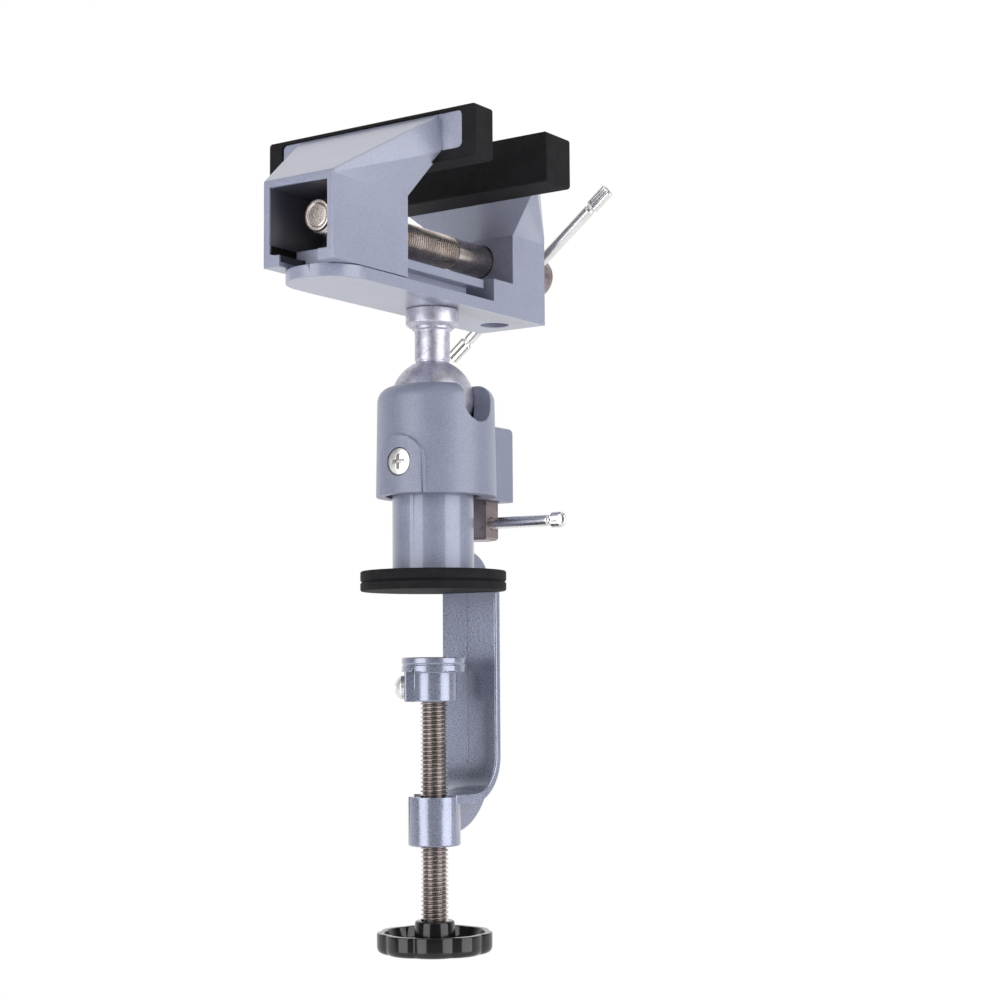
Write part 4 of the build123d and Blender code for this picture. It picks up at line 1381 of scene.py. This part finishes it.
@dataclass
class Studio:
    """A white photo table: pale floor, two upright soft boxes, a soft top light and the camera."""

    camera_place: Place = (409.5, -553.4, -29.0)
    azimuth: float = 36.5
    yaw: float = 1.97
    pitch: float = 5.04
    roll: float = 0.42
    lens: float = 70.82
    sensor: float = 36.0
    floor_height: float = -500.0
    floor_half: float = 6000.0
    white: str = "#FFFFFF"
    paper: str = "#F4F4F4"
    dark_side: float = 0.13
    gloss_rise: float = 0.88
    floor_glow: float = 0.9
    fill_rise: float = 0.6
    soft_boxes: tuple[SoftBox, ...] = (
        SoftBox("left_soft_box", -48.5, 5.0, (0.64, 1.4), 8.0),
        SoftBox("right_soft_box", 57.0, 5.0, (0.76, 1.4), 9.5),
        SoftBox("top_soft_box", 0.0, 80.0, (0.8, 0.8), 1.8),
    )

    def away(self) -> Place:
        """The level direction that leads away from the camera."""
        turn = math.radians(self.azimuth)
        return (-math.sin(turn), math.cos(turn), 0.0)

    def world(self) -> None:
        """A white room behind the object that is dark on the camera's side.

        With d the cosine between a ray and the camera's level direction, the level rises
        from dark_side by the smooth step of d between 0 and 0.7. The rise is gloss_rise for
        reflections and fill_rise for the rest. The camera sees white.
        """
        world = bpy.data.worlds.new("white_room")
        bpy.context.scene.world = world
        world.use_nodes = True
        tree = world.node_tree
        inputs = {0: add_node(tree, "TexCoord").outputs["Generated"], 1: self.away()}
        along = add_node(tree, "VectorMath", inputs, operation="DOT_PRODUCT").outputs["Value"]
        inputs = {"Value": along, "From Min": 0.0, "From Max": 0.7}
        step = add_node(tree, "MapRange", inputs, interpolation_type="SMOOTHSTEP").outputs["Result"]
        rays = add_node(tree, "LightPath").outputs
        inputs = {0: rays["Is Glossy Ray"], 1: rays["Is Transmission Ray"]}
        mirrored = add_node(tree, "Math", inputs, operation="MAXIMUM").outputs[0]
        inputs = {"Value": mirrored, "To Min": self.fill_rise, "To Max": self.gloss_rise}
        rise = add_node(tree, "MapRange", inputs).outputs["Result"]
        inputs = {0: step, 1: rise, 2: self.dark_side}
        level = add_node(tree, "Math", inputs, operation="MULTIPLY_ADD").outputs[0]
        inputs = {0: level, 1: rays["Is Camera Ray"]}
        level = add_node(tree, "Math", inputs, operation="MAXIMUM").outputs[0]
        background = tree.nodes["Background"]
        background.inputs["Color"].default_value = linear(self.white)
        tree.links.new(level, background.inputs["Strength"])

    def floor(self) -> None:
        """A pale floor that stays white to the camera and keeps the object's soft shadow.

        To the camera it is nine tenths white of its own up to 0.25 m from the object, and all
        white from 0.8 m on. To the object it glows on the side away from the camera only.
        """
        mesh = bpy.data.meshes.new("floor")
        corners = np.array([(-1, -1, 0), (1, -1, 0), (1, 1, 0), (-1, 1, 0)]) * self.floor_half
        corners[:, 2] = self.floor_height
        mesh.from_pydata((corners * MM).tolist(), [], [(0, 1, 2, 3)])
        sheet = bpy.data.objects.new("floor", mesh)
        bpy.context.scene.collection.objects.link(sheet)
        made = bpy.data.materials.new("white_paper_floor")
        made.use_nodes = True
        tree = made.node_tree
        tree.nodes.remove(tree.nodes["Principled BSDF"])
        paper = add_node(tree, "BsdfDiffuse", {"Color": linear(self.paper)}).outputs[0]
        glow = add_node(tree, "Emission", {"Color": linear(self.white), "Strength": 1.0}).outputs[0]
        place = add_node(tree, "TexCoord").outputs["Object"]
        far = add_node(tree, "VectorMath", {0: place}, operation="LENGTH").outputs["Value"]
        inputs = {"Value": far, "From Min": 0.25, "From Max": 0.8, "To Min": 0.9, "To Max": 1.0}
        shown = add_node(tree, "MapRange", inputs, interpolation_type="SMOOTHSTEP").outputs[0]
        inputs = {0: place, 1: self.away()}
        behind = add_node(tree, "VectorMath", inputs, operation="DOT_PRODUCT").outputs["Value"]
        inputs = {"Value": behind, "From Min": -0.8, "From Max": 0.2, "To Max": self.floor_glow}
        given = add_node(tree, "MapRange", inputs, interpolation_type="SMOOTHSTEP").outputs[0]
        seen = add_node(tree, "LightPath").outputs["Is Camera Ray"]
        share = add_node(tree, "Mix", {0: seen, 2: given, 3: shown}).outputs[0]
        mixed = add_node(tree, "MixShader", {0: share, 1: paper, 2: glow}).outputs[0]
        tree.links.new(mixed, tree.nodes["Material Output"].inputs["Surface"])
        mesh.materials.append(made)

    def camera(self) -> None:
        """The camera at the photograph's place, turned by yaw, pitch and roll."""
        angles = (self.azimuth, self.yaw, self.pitch, self.roll)
        turn, yaw, pitch, roll = (math.radians(angle) for angle in angles)
        right = np.array([math.cos(turn), math.sin(turn), 0.0])
        away, up = np.array(self.away()), np.array([0.0, 0.0, 1.0])
        level = math.cos(yaw) * away + math.sin(yaw) * right
        side = math.cos(yaw) * right - math.sin(yaw) * away
        forward = math.cos(pitch) * level + math.sin(pitch) * up
        lift = -math.sin(pitch) * level + math.cos(pitch) * up
        image_right = math.cos(roll) * side - math.sin(roll) * lift
        image_up = math.sin(roll) * side + math.cos(roll) * lift
        data = bpy.data.cameras.new("camera")
        data.lens = self.lens
        data.sensor_width = self.sensor
        data.sensor_fit = "HORIZONTAL"
        data.clip_start, data.clip_end = 0.01, 50.0
        place = np.array(self.camera_place) * MM
        axes = (image_right, image_up, -forward, place)
        bpy.context.scene.camera = stand("camera", data, axes)

    def build(self) -> None:
        """Sets up the world, the lamps, the floor and the camera."""
        bpy.context.scene.view_settings.view_transform = "Standard"
        self.world()
        for soft_box in self.soft_boxes:
            soft_box.build(self.azimuth)
        self.floor()
        self.camera()


def main() -> None:
    """Builds the studio and the vise."""
    logging.basicConfig(level=logging.INFO, format="%(name)s %(message)s")
    Studio().build()
    for part in (TableClamp(), BallJoint(), ViseHead()):
        part.build()
        log.info("%s is built", type(part).__name__)


if __name__ == "__main__":
    main()
